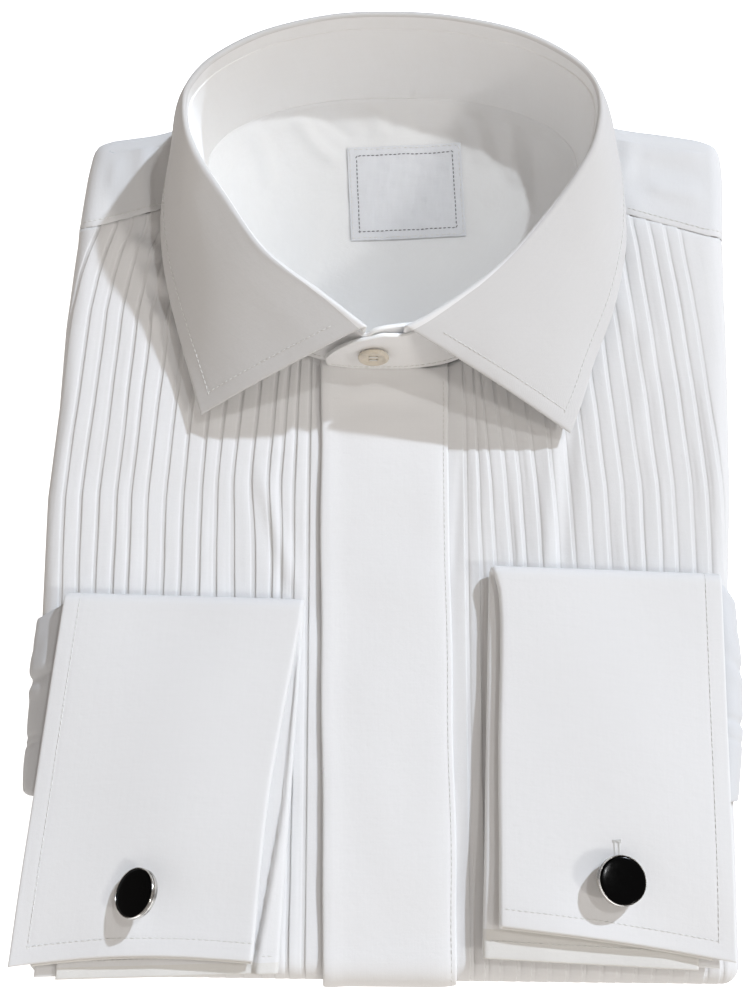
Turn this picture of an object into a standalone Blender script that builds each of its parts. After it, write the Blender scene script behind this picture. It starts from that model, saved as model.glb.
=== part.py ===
"""Long sleeve dress shirt with a pleated front and double cuffs, folded flat.

Lengths are millimetres until a mesh is made, and +Z is up. The shirt lies on z = 0 with
its front up: +Y runs up the shirt towards the collar, and +X is the wearer's left side.
Left and right in the names are the wearer's.
"""

import math

import bmesh
import bpy
from mathutils import Matrix, Vector

MILLIMETRE = 0.001

# Driving dimensions
STACK_HEIGHT = 20.0            # hidden folded layers, at the middle of the front
SIDE_FALL = 1.4                # how much lower the stack is at its long sides
SHOULDER_FALL = 3.0            # how much lower it is at the shoulders
HEM_FALL = 1.0
ROLL_RADIUS = 6.0              # rounding of the stack's upper edge
SEAM_GAP = 0.3
CLOTH_WALL = 1.2
YOKE_WALL = 1.4
PLACKET_WALL = 1.6
PLACKET_FOLD = 2.3             # free folded edge of the placket
PLEAT_RISE = 0.9
PLEAT_PITCH_RIGHT = 6.27
PLEAT_PITCH_LEFT = 6.14
PLEATS_RIGHT = 16
PLEATS_LEFT = 17
FIRST_PLEAT_RIGHT = 28.6       # pressed edge of the first pleat, from the middle
FIRST_PLEAT_LEFT = 27.6
PLAIN_STRIP = 27.2             # the cloth is plain up to this far from the middle
PLEAT_EDGE_BEHIND = 0.22       # width of a pleat's pressed edge on its inner side
PLEAT_EDGE_AHEAD = 0.1
PLEAT_GATHER = 9.0             # how far the pleats are drawn in towards the neck
WRAP_DROP = 2.6                # cloth below the roll, on the shirt's sides
STAND_WALL = 1.6
FALL_WALL = 1.4
FALL_ROLL = 2.2                # outer radius of the collar's fold
FALL_TURN_IN = 5.0             # part of the fall inside the neck
FALL_CAMBER = 2.2
BASIN_FLOOR = 11.5             # inside of the back, seen through the neck
LABEL_SIZE = (45.5, 39.5, 0.8)
LABEL_CENTRE = (6.6, 120.6)
LABEL_TURN = 2.6
BUTTON_DIAMETER = 11.5
BUTTON_THICKNESS = 2.3
CUFF_WALL = 1.2
CUFF_FOLD_GAP = 0.6            # between the two leaves of one turned back side
CUFF_INNER_GAP = 1.0           # between the cuff's two sides
CUFF_SEAM_SHORT = 8.0          # the inner leaf ends this far inside the outer leaf
CUFF_LIFT_AT_FOLD = 0.3
CUFF_LIFT_AT_END = 3.4
SLEEVE_WALL = 2.4
LINK_HEAD_DIAMETER = 17.0
LINK_HEAD_DEPTH = 3.6
LINK_POST_DIAMETER = 4.0
LINK_BAR = (15.0, 4.6, 2.5)

PANEL_LIFT = SEAM_GAP
PANEL_TOP = SEAM_GAP + CLOTH_WALL
PLACKET_LIFT = PANEL_TOP + SEAM_GAP
STAND_CLEAR = SEAM_GAP + CLOTH_WALL + PLEAT_RISE + SEAM_GAP
SLEEVE_LIFT = PANEL_TOP + SEAM_GAP + 0.2
CUFF_HALF = CUFF_INNER_GAP / 2 + 2 * CUFF_WALL + CUFF_FOLD_GAP
STACK_SLACK = 0.3              # the stack's rounded edge stays this far below the cloth
EDGE_REACH = ROLL_RADIUS + PANEL_TOP
QUARTER_ROLL = ROLL_RADIUS * math.pi / 2
WRAP_END = QUARTER_ROLL + WRAP_DROP

# Rows of the fronts: lengths past the lower flat limit, heights on the shirt, and shares
# of the rest up to the neck or the yoke's seam
HEM_WRAP_ROWS = (WRAP_END, QUARTER_ROLL, QUARTER_ROLL * 2 / 3, QUARTER_ROLL / 3)
FLAT_ROWS = (-150.0, -118.0, -80.0, -39.0, -5.0)
UPPER_SHARES = (0.22, 0.44, 0.64, 0.82, 1.0)
# Extra columns under the placket, before the first pleat
RIGHT_INNER_COLUMNS = (-11.0, 6.0, 22.0, 27.0)
LEFT_INNER_COLUMNS = (22.9, 24.6)

# Placket across its width, from its free folded edge: share, underside, wall
PLACKET_SECTION = (
    (0.0, PLACKET_LIFT + 0.5, 0.9),
    (0.02, PLACKET_LIFT, PLACKET_FOLD - 0.5),
    (0.07, PLACKET_LIFT, PLACKET_FOLD),
    (0.16, PLACKET_LIFT, PLACKET_WALL),
    (0.5, PLACKET_LIFT, PLACKET_WALL),
    (0.82, PLACKET_LIFT, PLACKET_WALL),
    (0.93, PANEL_LIFT + 0.2, PLACKET_WALL),
    (1.0, PANEL_LIFT, PLACKET_WALL),
)
# Its two edges at the lower fold and at the neck
PLACKET_LOW_X = (-23.6, 22.6)
PLACKET_HIGH_X = (-26.4, 21.4)
PLACKET_LOW_Y = -170.0
PLACKET_HIGH_Y = 42.0
PLACKET_FLAT_ROWS = (-130.0, -85.0, -40.0, 0.0)

# Outer edge of the cloth at the shirt's long sides: y, x on the right, x on the left
SIDE_ROWS = (
    (98.0, -123.0, 131.4),
    (63.0, -125.9, 130.7),
    (30.0, -126.9, 129.7),
    (-5.0, -129.5, 128.4),
    (-39.0, -129.3, 125.8),
    (-80.0, -129.0, 124.4),
    (-118.0, -128.8, 123.4),
    (-150.0, -128.6, 122.8),
    (-168.0, -128.2, 122.4),
)
HEM_Y_RIGHT = -175.8
HEM_Y_LEFT = -179.0

# Seam between the neck and the collar band, once round from the middle of the front
# through the wearer's right side, the back and the left side: x, y
NECK_ROWS = (
    (-6.0, 43.3),
    (-25.0, 45.0),
    (-42.0, 55.0),
    (-56.0, 71.0),
    (-66.0, 91.0),
    (-71.5, 110.0),
    (-73.0, 126.0),
    (-70.0, 137.0),
    (-60.0, 146.0),
    (-42.0, 153.5),
    (-21.0, 157.5),
    (0.0, 158.5),
    (22.0, 158.0),
    (43.0, 154.5),
    (61.0, 147.5),
    (71.5, 138.5),
    (75.0, 128.0),
    (73.5, 112.0),
    (67.5, 93.0),
    (57.0, 75.0),
    (43.0, 58.0),
    (27.0, 47.5),
    (12.0, 43.8),
)
NECK_CENTRE = (1.0, 104.0)
NECK_RIGHT_SEAM = 5.2          # where the yoke's front seams meet the neck, in rows above
NECK_BACK = 11.0
NECK_LEFT_SEAM = 17.0

# Yoke from its right front seam over the shoulders and the back to its left front seam:
# place on the neck, edge x, edge y, and the direction in which that edge faces
YOKE_ROWS = (
    (5.2, -122.6, 101.2, 180.0),
    (5.7, -121.0, 117.0, 180.0),
    (6.4, -119.0, 130.0, 176.0),
    (7.0, -116.0, 138.0, 140.0),
    (7.5, -107.0, 141.6, 106.0),
    (8.1, -89.0, 146.0, 106.0),
    (8.9, -66.0, 155.5, 112.0),
    (9.8, -40.0, 165.5, 104.0),
    (11.0, 0.0, 170.0, 90.0),
    (12.2, 40.0, 166.5, 76.0),
    (13.1, 66.0, 157.0, 68.0),
    (13.9, 89.0, 148.2, 74.0),
    (14.5, 112.0, 142.6, 74.0),
    (15.0, 128.5, 138.0, 42.0),
    (15.6, 132.8, 128.0, 3.0),
    (16.3, 132.4, 113.0, 2.0),
    (17.0, 131.2, 97.6, 0.0),
)

# Collar fold, once round from the right front to the left front: place on the neck,
# fold x, y, z, then the fall's outer edge x, y, z
COLLAR_ROWS = (
    (0.30, -8.2, 50.0, 51.5, -70.8, 24.3, 26.8),
    (1.10, -24.0, 62.8, 51.8, -74.5, 37.0, 27.2),
    (2.10, -44.8, 79.0, 52.3, -80.0, 55.5, 27.8),
    (3.20, -60.0, 100.5, 53.2, -85.0, 75.0, 28.6),
    (4.40, -68.9, 113.9, 54.6, -87.6, 93.0, 29.4),
    (5.40, -73.4, 124.5, 56.0, -87.6, 108.0, 30.0),
    (6.20, -74.6, 134.5, 57.4, -85.4, 124.0, 29.6),
    (7.00, -72.0, 141.2, 58.8, -82.5, 142.0, 28.0),
    (7.90, -63.4, 150.0, 59.6, -72.0, 158.0, 26.0),
    (8.90, -46.0, 159.3, 60.2, -52.0, 170.0, 24.4),
    (10.00, -22.0, 165.2, 60.8, -26.0, 176.8, 23.4),
    (11.00, 0.0, 166.3, 60.9, 0.0, 178.6, 23.2),
    (12.00, 22.0, 164.9, 60.8, 26.0, 176.8, 23.4),
    (13.00, 45.5, 160.0, 60.2, 52.0, 170.0, 24.4),
    (14.00, 62.0, 152.3, 59.6, 72.0, 158.6, 26.0),
    (15.00, 72.4, 143.6, 58.9, 84.5, 142.0, 28.0),
    (15.80, 75.8, 133.5, 57.5, 88.6, 122.0, 29.4),
    (16.60, 73.6, 120.5, 56.4, 90.4, 104.0, 29.6),
    (17.60, 68.4, 110.2, 55.4, 89.6, 87.0, 29.2),
    (18.80, 59.7, 97.5, 54.0, 84.6, 65.0, 28.4),
    (19.90, 44.6, 79.2, 52.9, 77.0, 45.5, 27.6),
    (20.90, 29.6, 65.9, 52.3, 72.0, 30.0, 27.1),
    (21.90, 13.0, 54.6, 51.8, 68.4, 20.6, 26.8),
    (22.60, 4.3, 50.0, 51.5, 66.9, 17.3, 26.6),
)

# Free ends of the collar band at the front: x, lower edge y, upper edge y and height.
# The wearer's right end lies under the left one, which has the buttonhole.
UNDERLAP_ROWS = (
    (14.0, 47.4, 51.4, 38.0),
    (11.0, 47.0, 52.6, 45.5),
    (2.0, 46.5, 50.6, 49.4),
    (-5.0, 46.3, 49.0, 50.0),
)
OVERLAP_ROWS = (
    (-2.0, 43.3, 47.2, 49.4),
    (-8.0, 43.3, 46.3, 48.0),
    (-14.0, 43.5, 45.9, 45.2),
    (-20.0, 44.0, 45.3, 39.0),
    (-24.4, 44.5, 44.7, 31.0),
)
UNDERLAP_SHIFT = 2.4           # the underlap lies this far behind the overlap
BUTTON_CENTRE = (-6.3, 36.4)   # x and height on the overlap

# Section of the inside of the yoke: distance in from the neck seam, share of the rise
BASIN_ROWS = (
    (0.0, 1.0),
    (3.0, 0.78),
    (8.0, 0.42),
    (15.0, 0.14),
    (25.0, 0.0),
)

# Exposed edges of the hidden layers, from the surface that the shirt lies on: height,
# and how far the layer's edge stands out from the stack's side
EDGE_LAYERS = (
    (0.0, -1.4),
    (1.1, 0.7),
    (3.0, 1.3),
    (4.4, 0.6),
    (4.9, -1.3),
    (5.4, 0.5),
    (7.2, 1.2),
    (8.8, 0.5),
    (9.3, -1.0),
)

# Plan corners of each cuff: the closed fold, then the ends of its upper and its lower side
CUFF_CORNERS = {
    "right": {
        "fold": ((-31.6, -46.6), (-116.8, -43.4)),
        "upper_end": ((-42.5, -169.2), (-129.6, -170.0)),
        "lower_end": ((-38.8, -171.6), (-124.0, -172.4)),
        "link": (-87.6, -146.2),
        "head_tilt": (28.0, 8.0),
    },
    "left": {
        "fold": ((35.2, -34.0), (118.6, -37.0)),
        "upper_end": ((34.6, -158.4), (117.0, -169.2)),
        "lower_end": ((28.6, -167.8), (112.5, -171.4)),
        "link": (76.4, -143.2),
        "head_tilt": (4.0, 3.0),
    },
}
# Sleeve's upper and lower edge inside the cuff, and how far it widens outside it
SLEEVE_ROWS = {"right": (-48.6, -112.0, 4.0), "left": (-42.5, -114.0, 3.0)}
# The sleeve across its width: share, wall, and how far the wall's inside is tucked out.
# The two thin rows are sharp creases.
SLEEVE_FOLDS = (
    (0.0, 0.9, 0.6),
    (0.03, 1.9, 0.1),
    (0.14, 2.4, 0.0),
    (0.28, 2.5, 0.0),
    (0.32, 1.4, 0.0),
    (0.37, 2.6, 0.0),
    (0.52, 2.8, 0.0),
    (0.66, 2.4, 0.0),
    (0.70, 1.3, 0.0),
    (0.75, 2.4, 0.0),
    (0.88, 2.5, 0.0),
    (0.97, 1.9, 0.1),
    (1.0, 0.9, 0.6),
)


# ---------------------------------------------------------------- mesh helpers

def clear_scene():
    for item in list(bpy.data.objects):
        bpy.data.objects.remove(item, do_unlink=True)


def make_material(name, colour, roughness, metallic=0.0):
    material = bpy.data.materials.new(name)
    material.use_nodes = True
    shader = material.node_tree.nodes["Principled BSDF"]
    shader.inputs["Base Color"].default_value = (*colour, 1.0)
    shader.inputs["Roughness"].default_value = roughness
    shader.inputs["Metallic"].default_value = metallic
    return material


def finish_object(name, mesh_data, material, smooth_angle=35.0):
    """Link a closed mesh given in millimetres as an object in metres."""
    bmesh.ops.remove_doubles(mesh_data, verts=mesh_data.verts, dist=1e-4)
    bmesh.ops.recalc_face_normals(mesh_data, faces=mesh_data.faces)
    bmesh.ops.scale(mesh_data, vec=(MILLIMETRE,) * 3, verts=mesh_data.verts)
    mesh = bpy.data.meshes.new(name)
    mesh_data.to_mesh(mesh)
    mesh_data.free()
    mesh.materials.append(material)
    mesh.shade_smooth()
    mesh.set_sharp_from_angle(angle=math.radians(smooth_angle))
    piece = bpy.data.objects.new(name, mesh)
    bpy.context.scene.collection.objects.link(piece)
    return piece


def add_grid(mesh_data, rows, closed_columns=False):
    """Add the points of a grid and the faces between them; return its vertices."""
    verts = [[mesh_data.verts.new(point) for point in row] for row in rows]
    columns = len(rows[0])
    last = columns if closed_columns else columns - 1
    for lower, upper in zip(verts, verts[1:]):
        for column in range(last):
            after = (column + 1) % columns
            mesh_data.faces.new((lower[column], lower[after], upper[after], upper[column]))
    return verts


def sheet_solid(name, outside, inside, material, closed_columns=False):
    """Close two matching grids of points into one wall."""
    mesh_data = bmesh.new()
    outer = add_grid(mesh_data, outside, closed_columns)
    inner = add_grid(mesh_data, inside, closed_columns)
    columns = len(outside[0])
    last = columns if closed_columns else columns - 1
    for row in (0, -1):
        for column in range(last):
            after = (column + 1) % columns
            mesh_data.faces.new((outer[row][column], outer[row][after],
                                 inner[row][after], inner[row][column]))
    if not closed_columns:
        for column in (0, -1):
            for row in range(len(outer) - 1):
                mesh_data.faces.new((outer[row][column], outer[row + 1][column],
                                     inner[row + 1][column], inner[row][column]))
    return finish_object(name, mesh_data, material)


def stacked_rings(name, rings, material, smooth_angle=35.0):
    """Join closed rings of points in order and close both ends flat."""
    mesh_data = bmesh.new()
    verts = add_grid(mesh_data, rings, closed_columns=True)
    mesh_data.faces.new(verts[0])
    mesh_data.faces.new(verts[-1])
    return finish_object(name, mesh_data, material, smooth_angle)


# ---------------------------------------------------------------- curve helpers

def blend(start, end, share):
    return start + (end - start) * share


def ease(share):
    """Smooth step from 0 to 1, flat at both ends."""
    share = min(max(share, 0.0), 1.0)
    return share * share * (3.0 - 2.0 * share)


def spline(rows, place, closed=False):
    """Point on a smooth curve through the rows; place counts rows."""
    count = len(rows)
    if closed:
        place = place % count
    else:
        place = min(max(place, 0.0), count - 1.0)
    first = min(int(place), count - 1)
    share = place - first

    def row(index):
        if closed:
            return rows[index % count]
        return rows[min(max(index, 0), count - 1)]

    before, start, end, after = (row(first + step) for step in (-1, 0, 1, 2))
    values = []
    for a, b, c, d in zip(before, start, end, after):
        values.append(0.5 * (2.0 * b + (c - a) * share
                             + (2.0 * a - 5.0 * b + 4.0 * c - d) * share ** 2
                             + (3.0 * b - a - 3.0 * c + d) * share ** 3))
    return values


def look_up(rows, key, column):
    """Straight interpolation in a table whose first column rises or falls."""
    ordered = sorted(rows)
    if key <= ordered[0][0]:
        return ordered[0][column]
    for low, high in zip(ordered, ordered[1:]):
        if key <= high[0]:
            return blend(low[column], high[column], (key - low[0]) / (high[0] - low[0]))
    return ordered[-1][column]


def offset_section(points, distance):
    """Move a section drawn in (across, height) sideways by its own normals."""
    moved = []
    for index, point in enumerate(points):
        before = points[max(index - 1, 0)]
        after = points[min(index + 1, len(points) - 1)]
        along = (after[0] - before[0], after[1] - before[1])
        length = math.hypot(*along)
        moved.append((point[0] + distance * along[1] / length,
                      point[1] - distance * along[0] / length))
    return moved


# ---------------------------------------------------------------- the folded form

def stack_top(x, y):
    """Height of the hidden layers' upper surface."""
    fall = SIDE_FALL * min(abs(x) / 125.0, 1.0) ** 3
    fall += SHOULDER_FALL * ease((y - 88.0) / 62.0)
    fall += HEM_FALL * ease((-130.0 - y) / 35.0)
    return STACK_HEIGHT - fall


def hem_y(x):
    """Outer edge of the cloth at the lower fold."""
    return blend(HEM_Y_RIGHT, HEM_Y_LEFT, (x + 128.0) / 256.0)


def roll_down(flat_x, flat_y, facing, over, lift):
    """Point on the cloth that runs over the stack's edge.

    It has gone the length "over" past the last flat point, in the direction "facing",
    and lies "lift" above the stack's surface.
    """
    angle = min(over / ROLL_RADIUS, math.pi / 2)
    drop = max(over - ROLL_RADIUS * math.pi / 2, 0.0)
    reach = (ROLL_RADIUS + lift) * math.sin(angle)
    height = stack_top(flat_x, flat_y) - ROLL_RADIUS
    height += (ROLL_RADIUS + lift) * math.cos(angle) - drop
    return (flat_x + facing[0] * reach, flat_y + facing[1] * reach, height)


def side_limit(y, side):
    """Where the flat cloth ends and the roll begins, on the right (-1) or left (1)."""
    column = 1 if side < 0 else 2
    return look_up(SIDE_ROWS, y, column) - side * EDGE_REACH


def laid_point(x, y, lift):
    """Point of the cloth over the front, its sides and its lower fold."""
    side = -1 if x < 0 else 1
    limit_y = hem_y(x) + EDGE_REACH
    flat_y = max(y, limit_y)
    limit_x = side_limit(flat_y, side)
    past_side = max(side * (x - limit_x), 0.0)
    past_hem = max(limit_y - y, 0.0)
    flat_x = limit_x if past_side > 0.0 else x
    over = max(past_side, past_hem)
    if over == 0.0:
        return (x, y, stack_top(x, y) + lift)
    length = math.hypot(past_side, past_hem)
    facing = (side * past_side / length, -past_hem / length)
    return roll_down(flat_x, flat_y, facing, over, lift)


def neck_point(place, inset=0.0):
    """Point on the neck seam, moved in towards the middle of the neck."""
    x, y = spline(NECK_ROWS, place, closed=True)
    from_x = x - NECK_CENTRE[0]
    from_y = y - NECK_CENTRE[1]
    share = 1.0 - inset / math.hypot(from_x, from_y)
    return (NECK_CENTRE[0] + from_x * share, NECK_CENTRE[1] + from_y * share)


def front_top_y(x):
    """Upper edge of the fronts at x: the neck opening, or the yoke's seam beside it."""
    row = YOKE_ROWS[0] if x < 0.0 else YOKE_ROWS[-1]
    side = math.copysign(1.0, x)
    seam_neck = neck_point(row[0], STAND_WALL)
    seam_limit = (row[1] - side * EDGE_REACH, row[2])
    if abs(x) > abs(seam_neck[0]):
        share = (x - seam_neck[0]) / (seam_limit[0] - seam_neck[0])
        return blend(seam_neck[1], seam_limit[1], min(share, 1.0)) - 2.0 * SEAM_GAP
    span = len(NECK_ROWS) + NECK_RIGHT_SEAM - NECK_LEFT_SEAM
    steps = 40
    places = [NECK_LEFT_SEAM + span * step / steps for step in range(steps + 1)]
    return look_up([neck_point(place, STAND_WALL / 2) for place in places], x, 1)


def stand_foot(x, y):
    """Height of the collar band's lower edge, just above the cloth it is sewn to."""
    on_placket = ease((40.0 - abs(x)) / 12.0) * ease((70.0 - y) / 15.0)
    placket_wall = blend(PLACKET_FOLD, PLACKET_WALL, ease((x + 22.0) / 8.0))
    over_placket = PLACKET_LIFT + placket_wall + SEAM_GAP + 0.1
    over_yoke = SEAM_GAP + YOKE_WALL + SEAM_GAP
    beside = blend(STAND_CLEAR, over_yoke, ease((y - 112.0) / 14.0))
    return stack_top(x, y) + blend(beside, over_placket, on_placket)


def outline_rows():
    """The stack's plan, once round: neck place, flat limit x and y, facing x and y."""
    rows = []
    for place, edge_x, edge_y, degrees in YOKE_ROWS:
        facing = (math.cos(math.radians(degrees)), math.sin(math.radians(degrees)))
        rows.append((place, edge_x - facing[0] * EDGE_REACH,
                     edge_y - facing[1] * EDGE_REACH, *facing))
    front = []
    for y, _right, _left in SIDE_ROWS[1:-1]:
        front.append((side_limit(y, 1), y, 1.0, 0.0))
    corner_left = side_limit(-172.0, 1)
    corner_right = side_limit(-172.0, -1)
    diagonal = math.sqrt(0.5)
    front.append((corner_left, hem_y(corner_left) + EDGE_REACH, 1.0, 0.0))
    front.append((corner_left, hem_y(corner_left) + EDGE_REACH, diagonal, -diagonal))
    for share in (0.0, 0.14, 0.28, 0.42, 0.58, 0.72, 0.86, 1.0):
        x = blend(corner_left, corner_right, share)
        front.append((x, hem_y(x) + EDGE_REACH, 0.0, -1.0))
    front.append((corner_right, hem_y(corner_right) + EDGE_REACH, -diagonal, -diagonal))
    front.append((corner_right, hem_y(corner_right) + EDGE_REACH, -1.0, 0.0))
    for y, _right, _left in reversed(SIDE_ROWS[1:-1]):
        front.append((side_limit(y, -1), y, -1.0, 0.0))
    span = len(NECK_ROWS) + NECK_RIGHT_SEAM - NECK_LEFT_SEAM
    for index, row in enumerate(front, start=1):
        place = NECK_LEFT_SEAM + span * index / (len(front) + 1)
        rows.append((place, *row))
    return rows


def basin_section(place):
    """Inside of the yoke from the neck seam to the floor: inset and height."""
    x, y = neck_point(place)
    half_round = len(NECK_ROWS) / 2.0
    from_back = abs((place - NECK_BACK + half_round) % len(NECK_ROWS) - half_round)
    rise = (stand_foot(x, y) + 0.6 - BASIN_FLOOR) * ease((8.0 - from_back) / 2.5)
    rim = STAND_WALL + SEAM_GAP + CLOTH_WALL
    return [(rim + inset, BASIN_FLOOR + rise * share) for inset, share in BASIN_ROWS]


# ---------------------------------------------------------------- body of the shirt

def folded_layers(material):
    """Back, tail and sleeves folded away, as one stack with layered edges."""
    rows = outline_rows()
    rings = []
    for height, out in EDGE_LAYERS:
        ring = []
        for index, (_place, x, y, facing_x, facing_y) in enumerate(rows):
            uneven = 0.5 * math.sin(index * 0.9 + height * 0.6) if out > 0.0 else 0.0
            reach = ROLL_RADIUS + out - abs(uneven)
            below_cloth = stack_top(x, y) - ROLL_RADIUS - WRAP_DROP - SEAM_GAP
            level = height * below_cloth / EDGE_LAYERS[-1][0]
            ring.append((x + facing_x * reach, y + facing_y * reach, level))
        rings.append(ring)
    for over in (WRAP_END - 0.5, QUARTER_ROLL, QUARTER_ROLL * 2 / 3, QUARTER_ROLL / 3, 0.0):
        rings.append([roll_down(x, y, (facing_x, facing_y), over, -STACK_SLACK)
                      for _place, x, y, facing_x, facing_y in rows])
    for share in (0.4, 0.75, 1.0):
        ring = []
        for place, limit_x, limit_y, _facing_x, _facing_y in rows:
            neck_x, neck_y = neck_point(place, STAND_WALL)
            x, y = blend(limit_x, neck_x, share), blend(limit_y, neck_y, share)
            ring.append((x, y, stack_top(x, y) - STACK_SLACK))
        rings.append(ring)
    sections = [offset_section(basin_section(row[0]), CLOTH_WALL + 2.0 * SEAM_GAP)
                for row in rows]
    for level in range(len(BASIN_ROWS)):
        ring = []
        for row, section in zip(rows, sections):
            inset, height = section[level]
            if level == 0:
                inset = STAND_WALL + 2.0 * SEAM_GAP
            below_rim = stack_top(*neck_point(row[0])) - STACK_SLACK - 0.4 * (level + 1)
            ring.append((*neck_point(row[0], inset), min(height, below_rim)))
        rings.append(ring)
    return stacked_rings("folded_layers", rings, material)


def pleat_columns(first_edge, pitch, count, start, side):
    """Places across one front with how far each stands up, from the inner edge out."""
    columns = [(place, 0.0) for place in start]
    for number in range(count):
        edge = first_edge + number * pitch
        if number >= count - 2:
            columns.append((edge - pitch / 2, PLEAT_RISE / 2))
        columns.append((edge - PLEAT_EDGE_BEHIND, PLEAT_RISE))
        columns.append((edge + PLEAT_EDGE_AHEAD, 0.0))
    return [(side * place, rise) for place, rise in columns]


def front_panel(name, columns, side, material):
    """One pleated front, from its inner edge to where it turns under at the side."""
    reference = side_limit(-60.0, side)
    outside, inside = [], []
    columns = list(columns)
    last = side * columns[-1][0]
    end = side * reference + WRAP_END
    for share in (0.33, 0.66, 1.0):
        columns.append((side * blend(last, end, share), 0.0))

    def place(column_x, y):
        """Where a column runs at height y on the shirt: gathered to the neck on top."""
        share = (side * column_x - PLAIN_STRIP) / (side * reference - PLAIN_STRIP)
        if share <= 0.0:
            return column_x
        if share > 1.0:
            return side_limit(y, side) + column_x - reference
        reach = side * side_limit(y, side) - PLAIN_STRIP
        pull = PLEAT_GATHER * ease(y / 115.0) * math.sin(math.pi * share) ** 0.6
        return side * (PLAIN_STRIP + reach * share - pull)

    for column_x, rise in columns:
        top = 60.0
        for _turn in range(4):
            top = front_top_y(place(column_x, top))
        upper, lower = [], []
        limit = hem_y(column_x) + EDGE_REACH
        levels = [limit - over for over in HEM_WRAP_ROWS] + [limit]
        levels += list(FLAT_ROWS)
        levels += [blend(FLAT_ROWS[-1], top, share) for share in UPPER_SHARES]
        for level, y in enumerate(levels):
            x = place(column_x, max(y, limit))
            fade = 0.0 if level < 2 else 1.0
            past = side * x - side * side_limit(max(y, limit), side)
            fade *= ease((8.0 - past) / 4.0)
            upper.append(laid_point(x, y, PANEL_TOP + rise * fade))
            lower.append(laid_point(x, y, PANEL_LIFT))
        outside.append(upper)
        inside.append(lower)
    return sheet_solid(name, outside, inside, material)


def placket(material):
    """Covered button placket: its free folded edge is on the wearer's right."""
    outside, inside = [], []
    for share, lift, wall in PLACKET_SECTION:
        upper, lower = [], []
        x_low = blend(*PLACKET_LOW_X, share)
        x_high = blend(*PLACKET_HIGH_X, share)
        limit = hem_y(x_low) + EDGE_REACH
        levels = [limit - over for over in HEM_WRAP_ROWS] + [limit]
        levels += list(PLACKET_FLAT_ROWS)
        top = front_top_y(x_high)
        levels += [blend(PLACKET_FLAT_ROWS[-1], top, part) for part in (0.5, 1.0)]
        for y in levels:
            up = (y - PLACKET_LOW_Y) / (PLACKET_HIGH_Y - PLACKET_LOW_Y)
            x = blend(x_low, x_high, min(max(up, 0.0), 1.0))
            upper.append(laid_point(x, y, lift + wall))
            lower.append(laid_point(x, y, lift))
        outside.append(upper)
        inside.append(lower)
    return sheet_solid("placket", outside, inside, material)


def yoke(material):
    """Outer yoke: both shoulder strips and the back above the fold."""
    outside, inside = [], []
    last = len(YOKE_ROWS) - 1
    for step in range(2 * last + 1):
        place, edge_x, edge_y, degrees = spline(YOKE_ROWS, step / 2.0)
        facing = (math.cos(math.radians(degrees)), math.sin(math.radians(degrees)))
        limit_x = edge_x - facing[0] * EDGE_REACH
        limit_y = edge_y - facing[1] * EDGE_REACH
        neck_x, neck_y = neck_point(place, STAND_WALL)
        upper, lower = [], []
        for share in (0.0, 0.3, 0.65):
            x, y = blend(neck_x, limit_x, share), blend(neck_y, limit_y, share)
            upper.append((x, y, stack_top(x, y) + SEAM_GAP + YOKE_WALL))
            lower.append((x, y, stack_top(x, y) + SEAM_GAP))
        for over in (0.0, *reversed(HEM_WRAP_ROWS)):
            upper.append(roll_down(limit_x, limit_y, facing, over, SEAM_GAP + YOKE_WALL))
            lower.append(roll_down(limit_x, limit_y, facing, over, SEAM_GAP))
        outside.append(upper)
        inside.append(lower)
    return sheet_solid("yoke", outside, inside, material)


def yoke_lining(material):
    """Inner layer of the yoke and back, the hollow seen through the neck."""
    outside, inside = [], []
    places = [row[0] for row in outline_rows()]
    sections = [basin_section(place) for place in places]
    hidden = [offset_section(section, CLOTH_WALL) for section in sections]
    for level in range(len(BASIN_ROWS)):
        outside.append([(*neck_point(place, section[level][0]), section[level][1])
                        for place, section in zip(places, sections)])
        inside.append([(*neck_point(place, section[level][0]), section[level][1])
                       for place, section in zip(places, hidden)])
    mesh_data = bmesh.new()
    outer = add_grid(mesh_data, outside, closed_columns=True)
    inner = add_grid(mesh_data, inside, closed_columns=True)
    for column in range(len(places)):
        after = (column + 1) % len(places)
        mesh_data.faces.new((outer[0][column], outer[0][after],
                             inner[0][after], inner[0][column]))
    mesh_data.faces.new(outer[-1])
    mesh_data.faces.new(inner[-1])
    return finish_object("yoke_lining", mesh_data, material)


# ---------------------------------------------------------------- collar

def collar_row(place):
    """Collar at a place counted in rows: neck seam, fold and outer edge points."""
    neck_place, fold_x, fold_y, fold_z, edge_x, edge_y, edge_z = spline(COLLAR_ROWS, place)
    neck_x, neck_y = neck_point(neck_place)
    return ((neck_x, neck_y, stand_foot(neck_x, neck_y)),
            (fold_x, fold_y, fold_z), (edge_x, edge_y, edge_z))


def fall_section(neck, fold, edge):
    """Visible side of the fall from inside the neck over the fold to its edge.

    Points are (distance towards the edge, height) in the upright plane through the
    fold and the edge.
    """
    reach = math.hypot(edge[0] - fold[0], edge[1] - fold[1])
    direction = ((edge[0] - fold[0]) / reach, (edge[1] - fold[1]) / reach)
    lean = (neck[0] - fold[0]) * direction[0] + (neck[1] - fold[1]) * direction[1]
    lean = min(max((lean - STAND_WALL) / (fold[2] - neck[2]), -0.3), 0.3) * FALL_TURN_IN
    points = [(lean, fold[2] - FALL_TURN_IN), (0.0, fold[2])]
    for degrees in (50.0, 95.0, 140.0):
        angle = math.radians(degrees)
        points.append((FALL_ROLL * (1.0 - math.cos(angle)),
                       fold[2] + FALL_ROLL * math.sin(angle)))
    start = (2.0 * FALL_ROLL + 0.25, fold[2] - 0.6)
    points.append(start)
    for share in (0.28, 0.6, 1.0):
        swell = FALL_CAMBER * math.sin(math.pi * share)
        points.append((blend(start[0], reach, share) + 0.5 * swell,
                       blend(start[1], edge[2], share) + 0.8 * swell))
    return direction, points


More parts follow.
